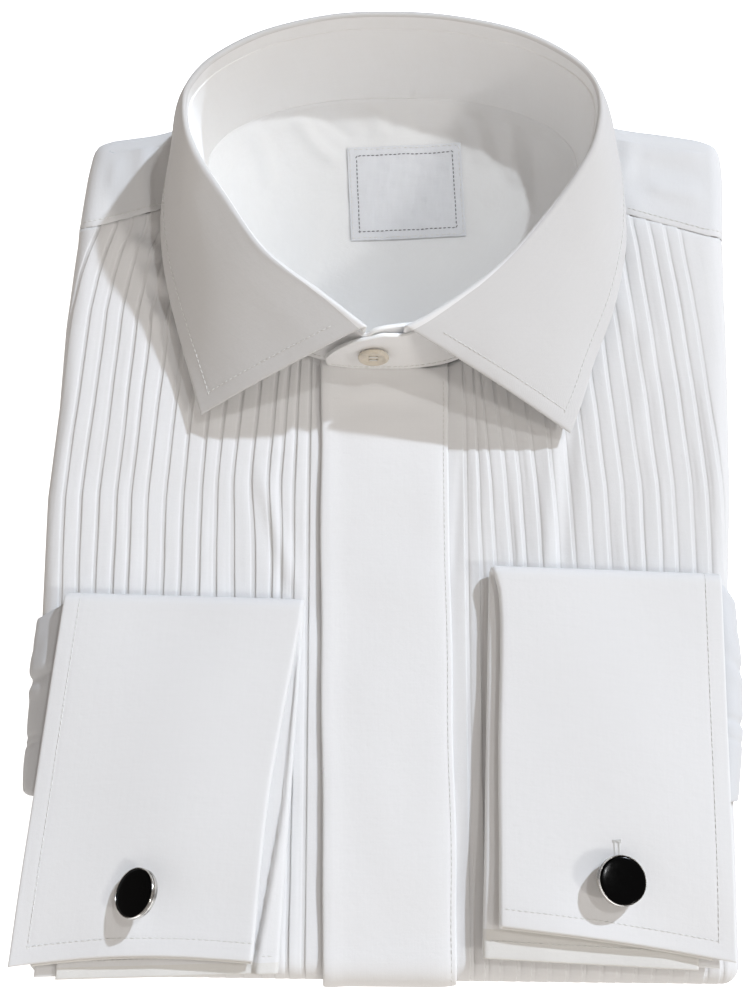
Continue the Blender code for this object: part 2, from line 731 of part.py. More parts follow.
def collar_fall(material):
    """Turned down leaf of the collar, with its fold and its part inside the neck."""
    outside, inside = [], []
    last = len(COLLAR_ROWS) - 1
    places = [step * 0.5 for step in range(2 * last + 1)]
    for place in places:
        neck, fold, edge = collar_row(place)
        direction, section = fall_section(neck, fold, edge)
        hidden = offset_section(section, FALL_WALL)
        for rows, points in ((outside, section), (inside, hidden)):
            rows.append([(fold[0] + direction[0] * across, fold[1] + direction[1] * across,
                          height) for across, height in points])
    return sheet_solid("collar_fall", outside, inside, material)


def collar_stand(material):
    """Band under the fall, with free ends that overlap at the front."""
    frames = []
    for x, foot_y, top_y, top_z in UNDERLAP_ROWS:
        frames.append(((x, foot_y, stand_foot(x, foot_y)), (x, top_y, top_z), (0.0, -1.0)))
    last = len(COLLAR_ROWS) - 1
    for step in range(2 * last + 1):
        place = step * 0.5
        neck, fold, _edge = collar_row(place)
        before = collar_row(max(place - 0.5, 0.0))[1]
        after = collar_row(min(place + 0.5, float(last)))[1]
        along = (after[0] - before[0], after[1] - before[1])
        length = math.hypot(*along)
        # the rows run clockwise seen from above, so outwards is to their left
        facing = (-along[1] / length, along[0] / length)
        neck_inside = (neck[0] - facing[0] * STAND_WALL, neck[1] - facing[1] * STAND_WALL,
                       neck[2])
        share = (fold[2] - FALL_TURN_IN - 2.0 * SEAM_GAP - neck[2]) / (fold[2] - neck[2])
        top = [blend(low, high, share) for low, high in zip(neck_inside, fold)]
        top[0] += facing[0] * STAND_WALL
        top[1] += facing[1] * STAND_WALL
        behind = UNDERLAP_SHIFT * (1.0 - ease(place / 2.0))
        frames.append(((neck[0], neck[1] + behind, neck[2]), top, facing))
    for x, foot_y, top_y, top_z in OVERLAP_ROWS:
        frames.append(((x, foot_y, stand_foot(x, foot_y)), (x, top_y, top_z), (0.0, -1.0)))
    outside, inside = [], []
    for foot, top, facing in frames:
        outer, inner = [], []
        for share in (0.0, 0.5, 1.0):
            x, y, z = (blend(low, high, share) for low, high in zip(foot, top))
            outer.append((x, y, z))
            inner.append((x - facing[0] * STAND_WALL, y - facing[1] * STAND_WALL, z))
        outside.append(outer)
        inside.append(inner)
    return sheet_solid("collar_stand", outside, inside, material)


def turned_rings(profile, sides, centre, axis_tilt=(0.0, 0.0)):
    """Rings of a turned shape: profile rows are radius and height on its own axis.

    The axis leans by the two angles in degrees, towards -X and towards +Y.
    """
    lean_x, lean_y = (math.radians(angle) for angle in axis_tilt)
    turn = Matrix.Rotation(-lean_x, 4, "Y") @ Matrix.Rotation(-lean_y, 4, "X")
    rings = []
    for radius, height in profile:
        ring = []
        for step in range(sides):
            angle = 2.0 * math.pi * step / sides
            point = Vector((radius * math.cos(angle), radius * math.sin(angle), height))
            ring.append(tuple(turn @ point + Vector(centre)))
        rings.append(ring)
    return rings


def cut_away(piece, cutters):
    """Take the cutters' shapes out of a piece; the cutters are guides only."""
    for cutter in cutters:
        cutter.hide_render = True
        cutter.display_type = "WIRE"
        cut = piece.modifiers.new("cut_" + cutter.name, "BOOLEAN")
        cut.operation = "DIFFERENCE"
        cut.object = cutter


def collar_button(material):
    """Four-hole button on the free end of the band."""
    x, height = BUTTON_CENTRE
    foot_y = look_up(OVERLAP_ROWS, x, 1)
    top_y = look_up(OVERLAP_ROWS, x, 2)
    top_z = look_up(OVERLAP_ROWS, x, 3)
    foot_z = stand_foot(x, foot_y)
    lean = math.degrees(math.atan2(top_y - foot_y, top_z - foot_z))
    face_y = blend(foot_y, top_y, (height - foot_z) / (top_z - foot_z))
    radius = BUTTON_DIAMETER / 2
    thick = BUTTON_THICKNESS
    profile = ((radius - 1.0, 0.0), (radius, 0.8), (radius, thick - 0.5),
               (radius - 0.7, thick), (radius - 1.7, thick), (radius - 2.3, thick - 0.6))
    tilt = (0.0, lean - 90.0)
    centre = (x, face_y - SEAM_GAP, height)
    button = stacked_rings("collar_button", turned_rings(profile, 20, centre, tilt), material)
    turn = Matrix.Rotation(math.radians(90.0 - lean), 4, "X")
    cutters = []
    for number, (side_x, side_y) in enumerate(((1, 1), (-1, 1), (-1, -1), (1, -1))):
        middle = turn @ Vector((1.25 * side_x, 1.25 * side_y, 0.0)) + Vector(centre)
        hole = ((0.75, -1.0), (0.75, thick + 1.0))
        cutters.append(stacked_rings(f"button_hole_{number}",
                                     turned_rings(hole, 8, middle, tilt), material))
    cut_away(button, cutters)
    return button


def basin_height(x, y):
    """Height of the yoke's inside at a point seen through the neck."""
    from_x, from_y = x - NECK_CENTRE[0], y - NECK_CENTRE[1]
    best_place, best_turn = 0.0, math.pi
    for step in range(len(NECK_ROWS) * 8):
        rim_x, rim_y = neck_point(step / 8.0)
        turn = abs(math.remainder(math.atan2(rim_y - NECK_CENTRE[1], rim_x - NECK_CENTRE[0])
                                  - math.atan2(from_y, from_x), 2.0 * math.pi))
        if turn < best_turn:
            best_place, best_turn = step / 8.0, turn
    rim_x, rim_y = neck_point(best_place)
    inset = math.hypot(rim_x - NECK_CENTRE[0], rim_y - NECK_CENTRE[1])
    inset -= math.hypot(from_x, from_y)
    return look_up(basin_section(best_place), inset, 1)


def label(material):
    """Bare woven label sewn flat to the inside of the yoke."""
    width, depth, wall = LABEL_SIZE
    turn = math.radians(LABEL_TURN)
    upper, lower = [], []
    for across in (-0.5, -0.25, 0.0, 0.25, 0.5):
        high, low = [], []
        for down in (-0.5, -0.3, -0.1, 0.1, 0.3, 0.5):
            x = LABEL_CENTRE[0] + across * width * math.cos(turn) - down * depth * math.sin(turn)
            y = LABEL_CENTRE[1] + across * width * math.sin(turn) + down * depth * math.cos(turn)
            height = basin_height(x, y) + SEAM_GAP + 0.1
            high.append((x, y, height + wall))
            low.append((x, y, height))
        upper.append(high)
        lower.append(low)
    return sheet_solid("label", upper, lower, material)


# ---------------------------------------------------------------- cuffs and sleeves

def cuff_bed(x, y, along):
    """Height of a cuff's lower face over the pleats, rising to its linked ends."""
    lift = blend(CUFF_LIFT_AT_FOLD, CUFF_LIFT_AT_END, along)
    return stack_top(x, y) + PANEL_TOP + PLEAT_RISE + lift


def cuff_plan(corners, end, across, along):
    """Plan point of a cuff side: shares from the rolled fold out, and from the top down."""
    (fold_in, fold_out), (end_in, end_out) = corners["fold"], corners[end]
    top = [blend(a, b, across) for a, b in zip(fold_in, fold_out)]
    bottom = [blend(a, b, across) for a, b in zip(end_in, end_out)]
    return [blend(a, b, along) for a, b in zip(top, bottom)]


def cuff_section(width):
    """Turned back leaf, rolled fold and inner leaf: distance out, height off the middle."""
    outer = CUFF_HALF
    inner = CUFF_INNER_GAP / 2
    roll = (outer - inner) / 2
    middle = (outer + inner) / 2
    hollow = CUFF_FOLD_GAP / 2
    short = width - CUFF_SEAM_SHORT
    half = width / 2
    corner = roll * (1.0 - math.sqrt(0.5))
    return ((width, outer), (half, outer), (roll, outer), (corner, outer - corner),
            (0.0, middle), (corner, inner + corner), (roll, inner), (half, inner),
            (short, inner), (short, middle - hollow), (half, middle - hollow),
            (roll, middle - hollow), (roll - hollow, middle), (roll, middle + hollow),
            (half, middle + hollow), (width, middle + hollow))


def cuff(side, material):
    """Double cuff: turned back on itself, flattened, its two ends held together."""
    corners = CUFF_CORNERS[side]
    fold_in, fold_out = corners["fold"]
    width = math.dist(fold_in, fold_out)
    length = math.dist(fold_in, corners["upper_end"][0])
    start = CUFF_HALF / length
    stations = [("upper_end", share, 0.0) for share in (1.0, 0.7, 0.4, start)]
    stations += [("upper_end", start, 45.0), ("upper_end", start, 90.0),
                 ("lower_end", start, 135.0)]
    stations += [("lower_end", share, 180.0) for share in (start, 0.4, 0.7, 1.0)]
    rings = []
    for end, along, degrees in stations:
        turn = math.radians(degrees)
        ring = []
        for out, off in cuff_section(width):
            down = along - off * math.sin(turn) / length
            x, y = cuff_plan(corners, end, out / width, down)
            ring.append((x, y, cuff_bed(x, y, down) + CUFF_HALF + off * math.cos(turn)))
        rings.append(ring)
    piece = stacked_rings("cuff_" + side, rings, material)
    x, y = corners["link"]
    middle = cuff_bed(x, y, 0.8) + CUFF_HALF
    hole = ((LINK_POST_DIAMETER / 2 + 0.35, -2.0 * CUFF_HALF),
            (LINK_POST_DIAMETER / 2 + 0.35, 2.0 * CUFF_HALF))
    cutter = stacked_rings("link_hole_" + side, turned_rings(hole, 12, (x, y, middle)),
                           material)
    cut_away(piece, [cutter])
    return piece


def sleeve(side, material):
    """Flattened sleeve from the cuff over the shirt's side to the surface below."""
    sign = 1.0 if side == "left" else -1.0
    corners = CUFF_CORNERS[side]
    top_y, end_y, flare = SLEEVE_ROWS[side]
    fold_out, end_out = corners["fold"][1], corners["upper_end"][1]
    outside, inside = [], []
    for share, wall, tuck in SLEEVE_FOLDS:
        y = blend(top_y, end_y, share)
        along = (y - fold_out[1]) / (end_out[1] - fold_out[1])
        free_edge = blend(fold_out[0], end_out[0], along)
        middle = cuff_bed(free_edge, y, along) + CUFF_HALF
        start = free_edge - sign * (CUFF_SEAM_SHORT - 0.5)
        path = [(start, middle - SLEEVE_WALL / 2 + tuck),
                (free_edge, middle - SLEEVE_WALL / 2 - 0.2 + tuck)]
        wide_y = y + flare * (1.0 - 2.0 * share)
        depths = [y, blend(y, wide_y, 0.5)] + [wide_y] * 6
        limit = side_limit(wide_y, int(sign))
        for over in (5.0, 7.2, 9.4, 12.5, 15.5, 19.0):
            fade = ease((8.0 - over) / 4.0)
            lift = SLEEVE_LIFT + PLEAT_RISE * fade + tuck
            x, _y, z = roll_down(limit, wide_y, (sign, 0.0), over, lift)
            path.append((x, z))
        section = [(sign * x, z) for x, z in path]
        moved = offset_section(section, -wall)
        inside.append([(x, y, z) for (x, z), y in zip(path, depths)])
        outside.append([(sign * x, y, z) for (x, z), y in zip(moved, depths)])
    return sheet_solid("sleeve_" + side, outside, inside, material)


def cufflink(side, silver, face_black):
    """Round cufflink: tilted head on a post through the cuff, with a bar underneath."""
    corners = CUFF_CORNERS[side]
    x, y = corners["link"]
    tilt = corners["head_tilt"]
    radius = LINK_HEAD_DIAMETER / 2
    bed = cuff_bed(x, y, 0.8)
    lean = math.hypot(*tilt)
    seat = bed + 2.0 * CUFF_HALF + SEAM_GAP + 0.3 + radius * math.sin(math.radians(lean))
    depth = LINK_HEAD_DEPTH
    head = ((2.6, -1.0), (radius - 2.2, 0.0), (radius - 0.4, 0.7), (radius, 1.5),
            (radius, depth - 0.5), (radius - 0.4, depth), (radius - 1.0, depth),
            (radius - 1.2, depth - 1.0))
    mount = stacked_rings(f"cufflink_{side}_mount",
                          turned_rings(head, 24, (x, y, seat), tilt), silver)
    post_foot = bed - 1.6
    post = stacked_rings(f"link_post_{side}",
                         turned_rings(((LINK_POST_DIAMETER / 2, 0.0),
                                       (LINK_POST_DIAMETER / 2, seat + 0.3 - post_foot)),
                                      12, (x, y, post_foot)), silver)
    length, breadth, height = LINK_BAR
    bar_rings = []
    for along, share in ((-0.5, 0.45), (-0.42, 0.85), (-0.2, 1.0), (0.2, 1.0),
                         (0.42, 0.85), (0.5, 0.45)):
        ring = []
        for step in range(8):
            angle = 2.0 * math.pi * (step + 0.5) / 8
            ring.append((x + share * breadth / 2 * math.cos(angle), y + along * length,
                         bed - SEAM_GAP - height / 2
                         + share * height / 2 * math.sin(angle)))
        bar_rings.append(ring)
    bar = stacked_rings(f"link_bar_{side}", bar_rings, silver)
    for part in (post, bar):
        part.hide_render = True
        part.display_type = "WIRE"
        join = mount.modifiers.new("join_" + part.name, "BOOLEAN")
        join.operation = "UNION"
        join.object = part
    inlay = ((radius - 1.6, depth - 1.0 + SEAM_GAP), (radius - 1.6, depth - 0.1),
             (radius - 2.0, depth + 0.1))
    stacked_rings(f"cufflink_{side}_face",
                  turned_rings(inlay, 24, (x, y, seat), tilt), face_black)


def main():
    clear_scene()
    cotton = make_material("white_cotton", (0.86, 0.87, 0.88), 0.75)
    satin = make_material("label_satin", (0.88, 0.88, 0.88), 0.45)
    resin = make_material("cream_resin", (0.87, 0.84, 0.76), 0.3)
    silver = make_material("polished_silver", (0.75, 0.74, 0.72), 0.15, metallic=1.0)
    onyx = make_material("black_enamel", (0.012, 0.012, 0.014), 0.08)
    folded_layers(cotton)
    right_columns = pleat_columns(FIRST_PLEAT_RIGHT, PLEAT_PITCH_RIGHT, PLEATS_RIGHT,
                                  RIGHT_INNER_COLUMNS, -1)
    left_columns = pleat_columns(FIRST_PLEAT_LEFT, PLEAT_PITCH_LEFT, PLEATS_LEFT,
                                 LEFT_INNER_COLUMNS, 1)
    front_panel("front_right", right_columns, -1, cotton)
    front_panel("front_left", left_columns, 1, cotton)
    placket(cotton)
    yoke(cotton)
    yoke_lining(cotton)
    label(satin)
    collar_stand(cotton)
    collar_fall(cotton)
    collar_button(resin)
    for side in ("right", "left"):
        cuff(side, cotton)
        sleeve(side, cotton)
        cufflink(side, silver, onyx)


main()
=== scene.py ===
"""Looks of a folded dress shirt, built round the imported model.

Lengths are millimetres until a mesh is made. The shirt lies on z = 0 with its front up:
+Y runs up the shirt to the collar, +X is the wearer's left side, and left and right in
the names are the wearer's.
"""

import math

import bmesh
import bpy
import numpy as np
from mathutils import Matrix, Vector


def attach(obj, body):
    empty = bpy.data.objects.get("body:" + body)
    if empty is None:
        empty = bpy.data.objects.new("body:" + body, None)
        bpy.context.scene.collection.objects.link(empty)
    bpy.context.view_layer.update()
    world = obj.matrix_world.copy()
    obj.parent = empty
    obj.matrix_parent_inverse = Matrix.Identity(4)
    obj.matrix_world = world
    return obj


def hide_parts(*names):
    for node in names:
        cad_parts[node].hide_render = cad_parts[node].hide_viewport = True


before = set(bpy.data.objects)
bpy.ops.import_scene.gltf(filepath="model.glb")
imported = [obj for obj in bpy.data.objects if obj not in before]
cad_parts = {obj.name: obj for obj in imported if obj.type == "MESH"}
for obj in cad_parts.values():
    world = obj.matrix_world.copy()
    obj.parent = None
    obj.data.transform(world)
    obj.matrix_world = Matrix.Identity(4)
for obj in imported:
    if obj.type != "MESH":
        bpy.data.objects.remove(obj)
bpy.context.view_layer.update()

MILLIMETRE = 0.001
SCENE = bpy.context.scene

# ---------------------------------------------------------------- sizes of the form

STACK_HEIGHT = 20.0            # hidden folded layers, at the middle of the front
SIDE_FALL = 1.4                # how far their top sinks at the sides,
SHOULDER_FALL = 3.0            # the shoulders
HEM_FALL = 1.0                 # and the lower fold
ROLL_RADIUS = 6.0              # rounding of the stack's upper edge
PANEL_TOP = 1.5                # the fronts' room over the stack
PLEAT_RISE = 0.9               # the pleats' height under cuffs and sleeves
EDGE_REACH = ROLL_RADIUS + PANEL_TOP
QUARTER_ROLL = ROLL_RADIUS * math.pi / 2
WRAP_DROP = 3.4                # cloth below the roll
SEAM_GAP = 0.05                # room between cloths that are sewn together
STAND_WALL = 1.6
FALL_WALL = 1.1
FALL_ROLL = 1.5                # rounding of the collar's fold
FALL_SET = 0.2                 # how far the fold stands out from the band's inner face
FALL_TURN_IN = 5.0             # how far the leaf reaches down inside the band
FALL_CAMBER = 2.2              # and how much it arches on the outside
BASIN_FLOOR = 11.5             # the back's inside, low in the neck opening
CUFF_WALL = 1.25
CUFF_INNER_GAP = 1.0           # between the two inner leaves
CUFF_HALF = 3.5                # half of the closed cuff's height
CUFF_SEAM_SHORT = 8.0          # the inner leaf ends this far inside the outer leaf
CUFF_LEAF_STEP = 0.9           # and its linked ends show this far past the outer leaf's
CUFF_CLEAR = 0.9               # flat parts keep this far from the start of a fold's bend
CUFF_LIFT = (0.3, 3.4)         # room under a cuff at its closed fold and at its ends
EDGE_STITCH = 6.0              # rows of stitching lie this far inside collar and cuff edges
STITCH_PITCH = 2.1
STITCH_LENGTH = 1.75
STITCH_RAISE = 0.1             # the middle of a stitch over the cloth's face
LINE_STEP = 2                  # a stitch line follows every second row or column
THREAD = 0.34
PLACKET_STITCH = 1.9           # rows of stitching from the edges of the placket,
YOKE_STITCH = 2.4              # the yoke
BAND_STITCH = 2.0              # the collar band
FOLD_STITCH = 2.2              # and the turned in edge of the collar's leaf
SLOT_HALF = 0.75               # half the distance between a buttonhole's two sides

# Outer edge of the cloth at the long sides: y, x on the right, x on the left
SIDE_ROWS = np.array((
    (-168.0, -128.2, 122.4),
    (-150.0, -128.6, 122.8),
    (-118.0, -128.8, 123.4),
    (-80.0, -129.0, 124.4),
    (-39.0, -129.3, 125.8),
    (-5.0, -129.5, 128.4),
    (30.0, -126.9, 129.7),
    (63.0, -125.9, 130.7),
    (98.0, -123.0, 131.4),
))
HEM_Y = (-175.8, -179.0)       # lower fold at the right and the left side
HALF_WIDTH = 128.0

# Neck seam, once round from the front over the right side: x, y
NECK_ROWS = (
    (-6.0, 43.3), (-25.0, 45.0), (-42.0, 55.0), (-56.0, 71.0), (-66.0, 91.0),
    (-71.5, 110.0), (-73.0, 126.0), (-70.0, 137.0), (-60.0, 146.0), (-42.0, 153.5),
    (-21.0, 157.5), (0.0, 158.5), (22.0, 158.0), (43.0, 154.5), (61.0, 147.5),
    (71.5, 138.5), (75.0, 128.0), (73.5, 112.0), (67.5, 93.0), (57.0, 75.0),
    (43.0, 58.0), (27.0, 47.5), (12.0, 43.8),
)
NECK_CENTRE = np.array((1.0, 104.0))
NECK_BACK = 11.0

# Yoke from the right front seam to the left one: neck place, edge x, y, edge direction
YOKE_ROWS = np.array((
    (5.3, -122.6, 102.6, 180.0), (5.55, -121.4, 117.0, 179.0),
    (6.1, -120.0, 130.0, 176.0), (6.25, -117.6, 139.0, 146.0),
    (6.4, -111.5, 142.4, 104.0), (6.6, -104.0, 143.6, 99.0),
    (7.1, -89.0, 146.4, 101.0), (7.95, -66.0, 155.5, 110.0),
    (9.2, -40.0, 165.5, 104.0), (11.0, 0.0, 170.0, 90.0),
    (12.8, 40.0, 166.5, 76.0), (14.0, 66.0, 157.0, 68.0),
    (14.9, 89.0, 148.6, 78.0), (15.6, 112.0, 145.0, 81.0),
    (15.8, 124.5, 142.8, 78.0), (15.95, 131.4, 138.8, 34.0),
    (16.15, 133.0, 129.0, 3.0), (16.5, 132.4, 113.0, 2.0),
    (16.9, 131.2, 98.8, 0.0),
))

# Collar: neck place, fold x, y, z, outer edge x, y, z
COLLAR_ROWS = (
    (0.30, -8.2, 50.0, 51.5, -70.8, 24.3, 26.8),
    (1.10, -24.0, 62.8, 51.8, -74.5, 37.0, 27.2),
    (2.10, -44.8, 79.0, 52.3, -80.0, 55.5, 27.8),
    (3.20, -60.0, 100.5, 53.2, -85.0, 75.0, 28.6),
    (4.40, -68.9, 113.9, 54.6, -87.6, 93.0, 29.4),
    (5.40, -73.4, 124.5, 56.0, -87.6, 108.0, 30.0),
    (6.20, -74.6, 134.5, 57.4, -85.4, 124.0, 29.6),
    (7.00, -72.0, 141.2, 58.8, -82.5, 142.0, 28.0),
    (7.90, -63.4, 150.0, 59.6, -72.0, 158.0, 26.0),
    (8.90, -46.0, 159.3, 60.2, -52.0, 170.0, 24.4),
    (10.00, -22.0, 165.2, 60.8, -26.0, 176.8, 23.4),
    (11.00, 0.0, 166.3, 60.9, 0.0, 178.6, 23.2),
    (12.00, 22.0, 164.9, 60.8, 26.0, 176.8, 23.4),
    (13.00, 45.5, 160.0, 60.2, 52.0, 170.0, 24.4),
    (14.00, 62.0, 152.3, 59.6, 72.0, 158.6, 26.0),
    (15.00, 72.4, 143.6, 58.9, 84.5, 142.0, 28.0),
    (15.80, 75.8, 133.5, 57.5, 88.6, 122.0, 29.4),
    (16.60, 73.6, 120.5, 56.4, 90.4, 104.0, 29.6),
    (17.60, 68.4, 110.2, 55.4, 89.6, 87.0, 29.2),
    (18.80, 59.7, 97.5, 54.0, 84.6, 65.0, 28.4),
    (19.90, 44.6, 79.2, 52.9, 77.0, 45.5, 27.6),
    (20.90, 29.6, 65.9, 52.3, 72.0, 30.0, 27.1),
    (21.90, 13.0, 54.6, 51.8, 68.4, 20.6, 26.8),
    (22.60, 4.3, 50.0, 51.5, 66.9, 17.3, 26.6),
)

# Free ends of the band: x, lower edge y, upper edge y and height
UNDERLAP_ROWS = (
    (14.0, 47.4, 51.4, 38.0), (11.0, 47.0, 52.6, 45.5),
    (2.0, 46.5, 50.6, 49.4), (-5.0, 46.3, 49.0, 50.0),
)
OVERLAP_ROWS = (
    (-2.0, 43.3, 47.2, 49.4), (-8.0, 43.3, 46.3, 48.0), (-14.0, 43.5, 45.9, 45.2),
    (-20.0, 44.0, 45.3, 39.0), (-24.4, 44.5, 44.7, 31.0),
)
UNDERLAP_SHIFT = 2.4           # room for the free end that lies under the other
# The band's foot over the cloth: on the placket, from its free side to its sewn side, and
# over the stack, from the fronts to the yoke
PLACKET_LAYERS = (2.3, 1.6)
PLACKET_ROOM = 0.3
FOOT_LIFT = (2.7, 2.0)
# Neck edge of the fronts: x, how far it runs up past the neck seam, under the band
NECK_EDGE_ROWS = np.array((
    (-44.8, 0.0), (-34.0, 1.2), (-26.0, 2.6), (-16.0, 3.4), (-8.2, 3.0),
    (4.0, UNDERLAP_SHIFT), (14.0, 0.0),
))
YOKE_LAP = 1.2                 # the fronts run this far on under the yoke's front seams

# Inside of the yoke: distance in from the neck seam, share of the rise
BASIN_ROWS = np.array(((0.0, 1.0), (4.0, 0.80), (9.5, 0.44), (16.5, 0.15), (26.0, 0.0)))
RIM_INSET = STAND_WALL + SEAM_GAP   # the inside begins this far from the neck seam

# Pressed edges of the pleats, from the middle of the front out
PLEAT_EDGES = {
    "right": (29.8, 35.4, 40.6, 45.4, 51.7, 58.0, 63.9, 69.8, 76.5, 82.8, 89.4, 95.7,
              101.2, 107.6, 113.9, 120.2, 126.6),
    "left": (27.3, 32.8, 38.4, 44.6, 49.8, 56.0, 62.6, 68.5, 75.1, 81.7, 88.0, 94.6,
             101.2, 107.1, 113.7, 119.6, 125.2),
}
# How far the pleats lean in towards the neck: height on the shirt, shift
PLEAT_LEAN = {
    "right": ((0.0, 0.0), (28.0, 2.2), (50.0, 4.0), (68.0, 5.4), (82.0, 7.8),
              (92.0, 10.4), (103.0, 14.2)),
    "left": ((-38.0, 0.0), (0.0, 2.6), (30.0, 5.2), (60.0, 8.2), (85.0, 11.2), (103.0, 13.6)),
}
PLEAT_FLATNESS = 0.58          # how much of the section's height shows
# One pleat in section, from its own strip over the pressed edge to the next strip:
# distance out from the edge, height
PLEAT_SECTION = (
    (-2.3, 0.96), (-1.3, 1.06), (-0.5, 1.12), (-0.12, 1.09), (0.0, 0.97), (-0.1, 0.86),
    (-0.45, 0.80), (-0.8, 0.70), (-0.92, 0.56), (-0.8, 0.42), (-0.45, 0.37), (0.0, 0.36),
    (0.45, 0.29), (0.9, 0.20), (1.3, 0.11), (1.5, 0.15), (1.65, 0.40), (1.9, 0.54),
)
# Between two pleats: share of the way to the next strip, height
STRIP_SECTION = ((0.35, 0.70), (0.7, 0.84))

# Each cuff: fold, upper_end and lower_end are plan corners, of the closed fold and of the
# linked ends of both sides. edge_shift has rows of share of the length and how far the
# rolled edge stands off its line. bow: how far the upper end curves. cream: how far in from
# the linked ends the cloth takes the darker, warmer cotton, as painted shade between the
# layered ends. puff: rise of the bared lower leaf. seed and sag_phase: its own unevenness.
# link, head_tilt and head_room: middle, lean and seat of the cufflink. buttonhole: how far
# it runs up from the link.
# sleeve: y at its top and end, then how much further up its outer edge lies at both.
# sleeve_wall has rows of share of that length and thickness.
CUFFS = {
    "right": {
        "sign": -1.0,
        "fold": ((-31.6, -44.7), (-117.4, -42.0)),
        "edge_shift": ((0.0, 0.0), (0.1, -0.3), (0.3, -1.5), (0.55, -2.6), (0.8, -1.6),
                       (1.0, -0.3)),
        "upper_end": ((-47.4, -168.8), (-130.2, -170.8)),
        "lower_end": ((-39.2, -172.2), (-122.4, -174.6)),
        "bow": 2.7,
        "cream": 4.2,
        "puff": 2.3,
        "seed": 81,
        "sag_phase": 0.0,
        "link": (-84.9, -146.7),
        "head_tilt": (34.0, 14.0),
        "head_room": -0.7,
        "buttonhole": 6.5,
        "sleeve": (-46.0, -114.2, -4.0, 0.3),
        "sleeve_wall": ((0.0, 0.8), (0.03, 1.2), (0.1, 1.6), (0.22, 2.6), (0.30, 2.7),
                        (0.335, 2.3), (0.355, 1.7), (0.38, 2.2), (0.45, 2.5), (0.58, 2.7),
                        (0.66, 2.7), (0.685, 2.4), (0.71, 2.9), (0.82, 3.4), (0.94, 3.4),
                        (0.98, 2.9), (1.0, 1.4)),
    },
    "left": {
        "sign": 1.0,
        "fold": ((36.4, -32.4), (119.4, -35.2)),
        "edge_shift": ((0.0, 0.8), (0.08, 2.8), (0.2, 3.0), (0.52, 1.1), (0.8, 0.2),
                       (1.0, -0.5)),
        "upper_end": ((37.6, -157.4), (117.0, -169.4)),
        "lower_end": ((31.6, -167.4), (112.5, -171.8)),
        "bow": 0.9,
        "cream": 11.5,
        "puff": 0.0,
        "seed": 91,
        "sag_phase": 1.5,
        "link": (77.4, -142.5),
        "head_tilt": (-11.0, 9.0),
        "head_room": 0.2,
        "buttonhole": 13.0,
        "sleeve": (-38.0, -116.0, -3.5, 0.0),
        "sleeve_wall": ((0.0, 0.8), (0.04, 2.0), (0.12, 2.5), (0.25, 3.3), (0.40, 3.4),
                        (0.52, 3.6), (0.60, 3.4), (0.635, 2.5), (0.66, 3.3), (0.78, 2.7),
                        (0.88, 1.9), (0.96, 1.2), (1.0, 0.7)),
    },
}


# ---------------------------------------------------------------- curves and fields

WAVE_COUNT = 6                 # waves added up in one uneven field


def blend(start, end, share):
    return start + (end - start) * share


def ease(share):
    """Smooth step from 0 to 1, flat at both ends."""
    share = np.clip(share, 0.0, 1.0)
    return share * share * (3.0 - 2.0 * share)


def spline(rows, places, closed=False):
    """Points on the smooth curve through the rows; places count rows."""
    rows = np.asarray(rows, float)
    places = np.asarray(places, float)
    count = len(rows)
    if closed:
        places = places % count
        first = np.floor(places).astype(int)
        a, b, c, d = (rows[(first + step) % count] for step in (-1, 0, 1, 2))
    else:
        places = np.clip(places, 0.0, count - 1.0)
        first = np.clip(np.floor(places).astype(int), 0, count - 2)
        a, b, c, d = (rows[np.clip(first + step, 0, count - 1)] for step in (-1, 0, 1, 2))
    share = (places - first).reshape(places.shape + (1,) * (rows.ndim - 1))
    return 0.5 * (2.0 * b + (c - a) * share + (2.0 * a - 5.0 * b + 4.0 * c - d) * share ** 2
                  + (3.0 * b - a - 3.0 * c + d) * share ** 3)


def waves(x, y, size, seed):
    """Uneven soft field between about -1 and 1, with humps about half of size wide."""
    chance = np.random.default_rng(seed)
    total = 0.0
    for _ in range(WAVE_COUNT):
        angle = chance.uniform(0.0, 2.0 * math.pi)
        length = size * chance.uniform(0.6, 1.7)
        phase = chance.uniform(0.0, 2.0 * math.pi)
        total = total + np.sin((x * math.cos(angle) + y * math.sin(angle))
                               * 2.0 * math.pi / length + phase)
    return total / math.sqrt(WAVE_COUNT)


def creases(x, y, rows):
    """Heights of soft ridges and troughs laid over a surface.

    Each row is start x, start y, end x, end y, half width, height, sideways bow.
    """
    x, y = np.broadcast_arrays(x, y)
    total = np.zeros(x.shape)
    for from_x, from_y, to_x, to_y, width, height, bow in rows:
        along_x, along_y = to_x - from_x, to_y - from_y
        length = math.hypot(along_x, along_y)
        along = ((x - from_x) * along_x + (y - from_y) * along_y) / length ** 2
        off = ((x - from_x) * along_y - (y - from_y) * along_x) / length
        off = off - bow * 4.0 * along * (1.0 - along)
        ends = ease((along + 0.12) / 0.3) * ease((1.12 - along) / 0.3)
        total += height * ends * np.exp(-(off / width) ** 2)
    return total


def stations(length, step, edge, fine=0.0, fine_step=0.7):
    """Distances along a length, closer together at both ends.

    The wall is rounded within "edge" of an end, and "fine" is how far seams reach in.
    """
    near = np.concatenate((np.array((0.0, 0.06, 0.22, 0.5, 1.0)) * edge,
                           np.arange(edge + fine_step, fine, fine_step)))
    inside = length - 2.0 * near[-1]
    inner = np.linspace(near[-1], length - near[-1], max(int(inside / step), 2) + 1)
    return np.concatenate((near[:-1], inner, length - near[-2::-1]))


def run_length(points):
    """Distance along a line of points, from its first point to each one."""
    steps = np.linalg.norm(np.diff(points, axis=0), axis=1)
    return np.concatenate(([0.0], np.cumsum(steps)))


def places_along(points_at, last, step, edge, fine=0.0):
    """Places in a table's rows that lie at the stations of the line it makes."""
    dense = np.linspace(0.0, last, 800)
    length = run_length(points_at(dense))
    return np.interp(stations(length[-1], step=step, edge=edge, fine=fine), length, dense)


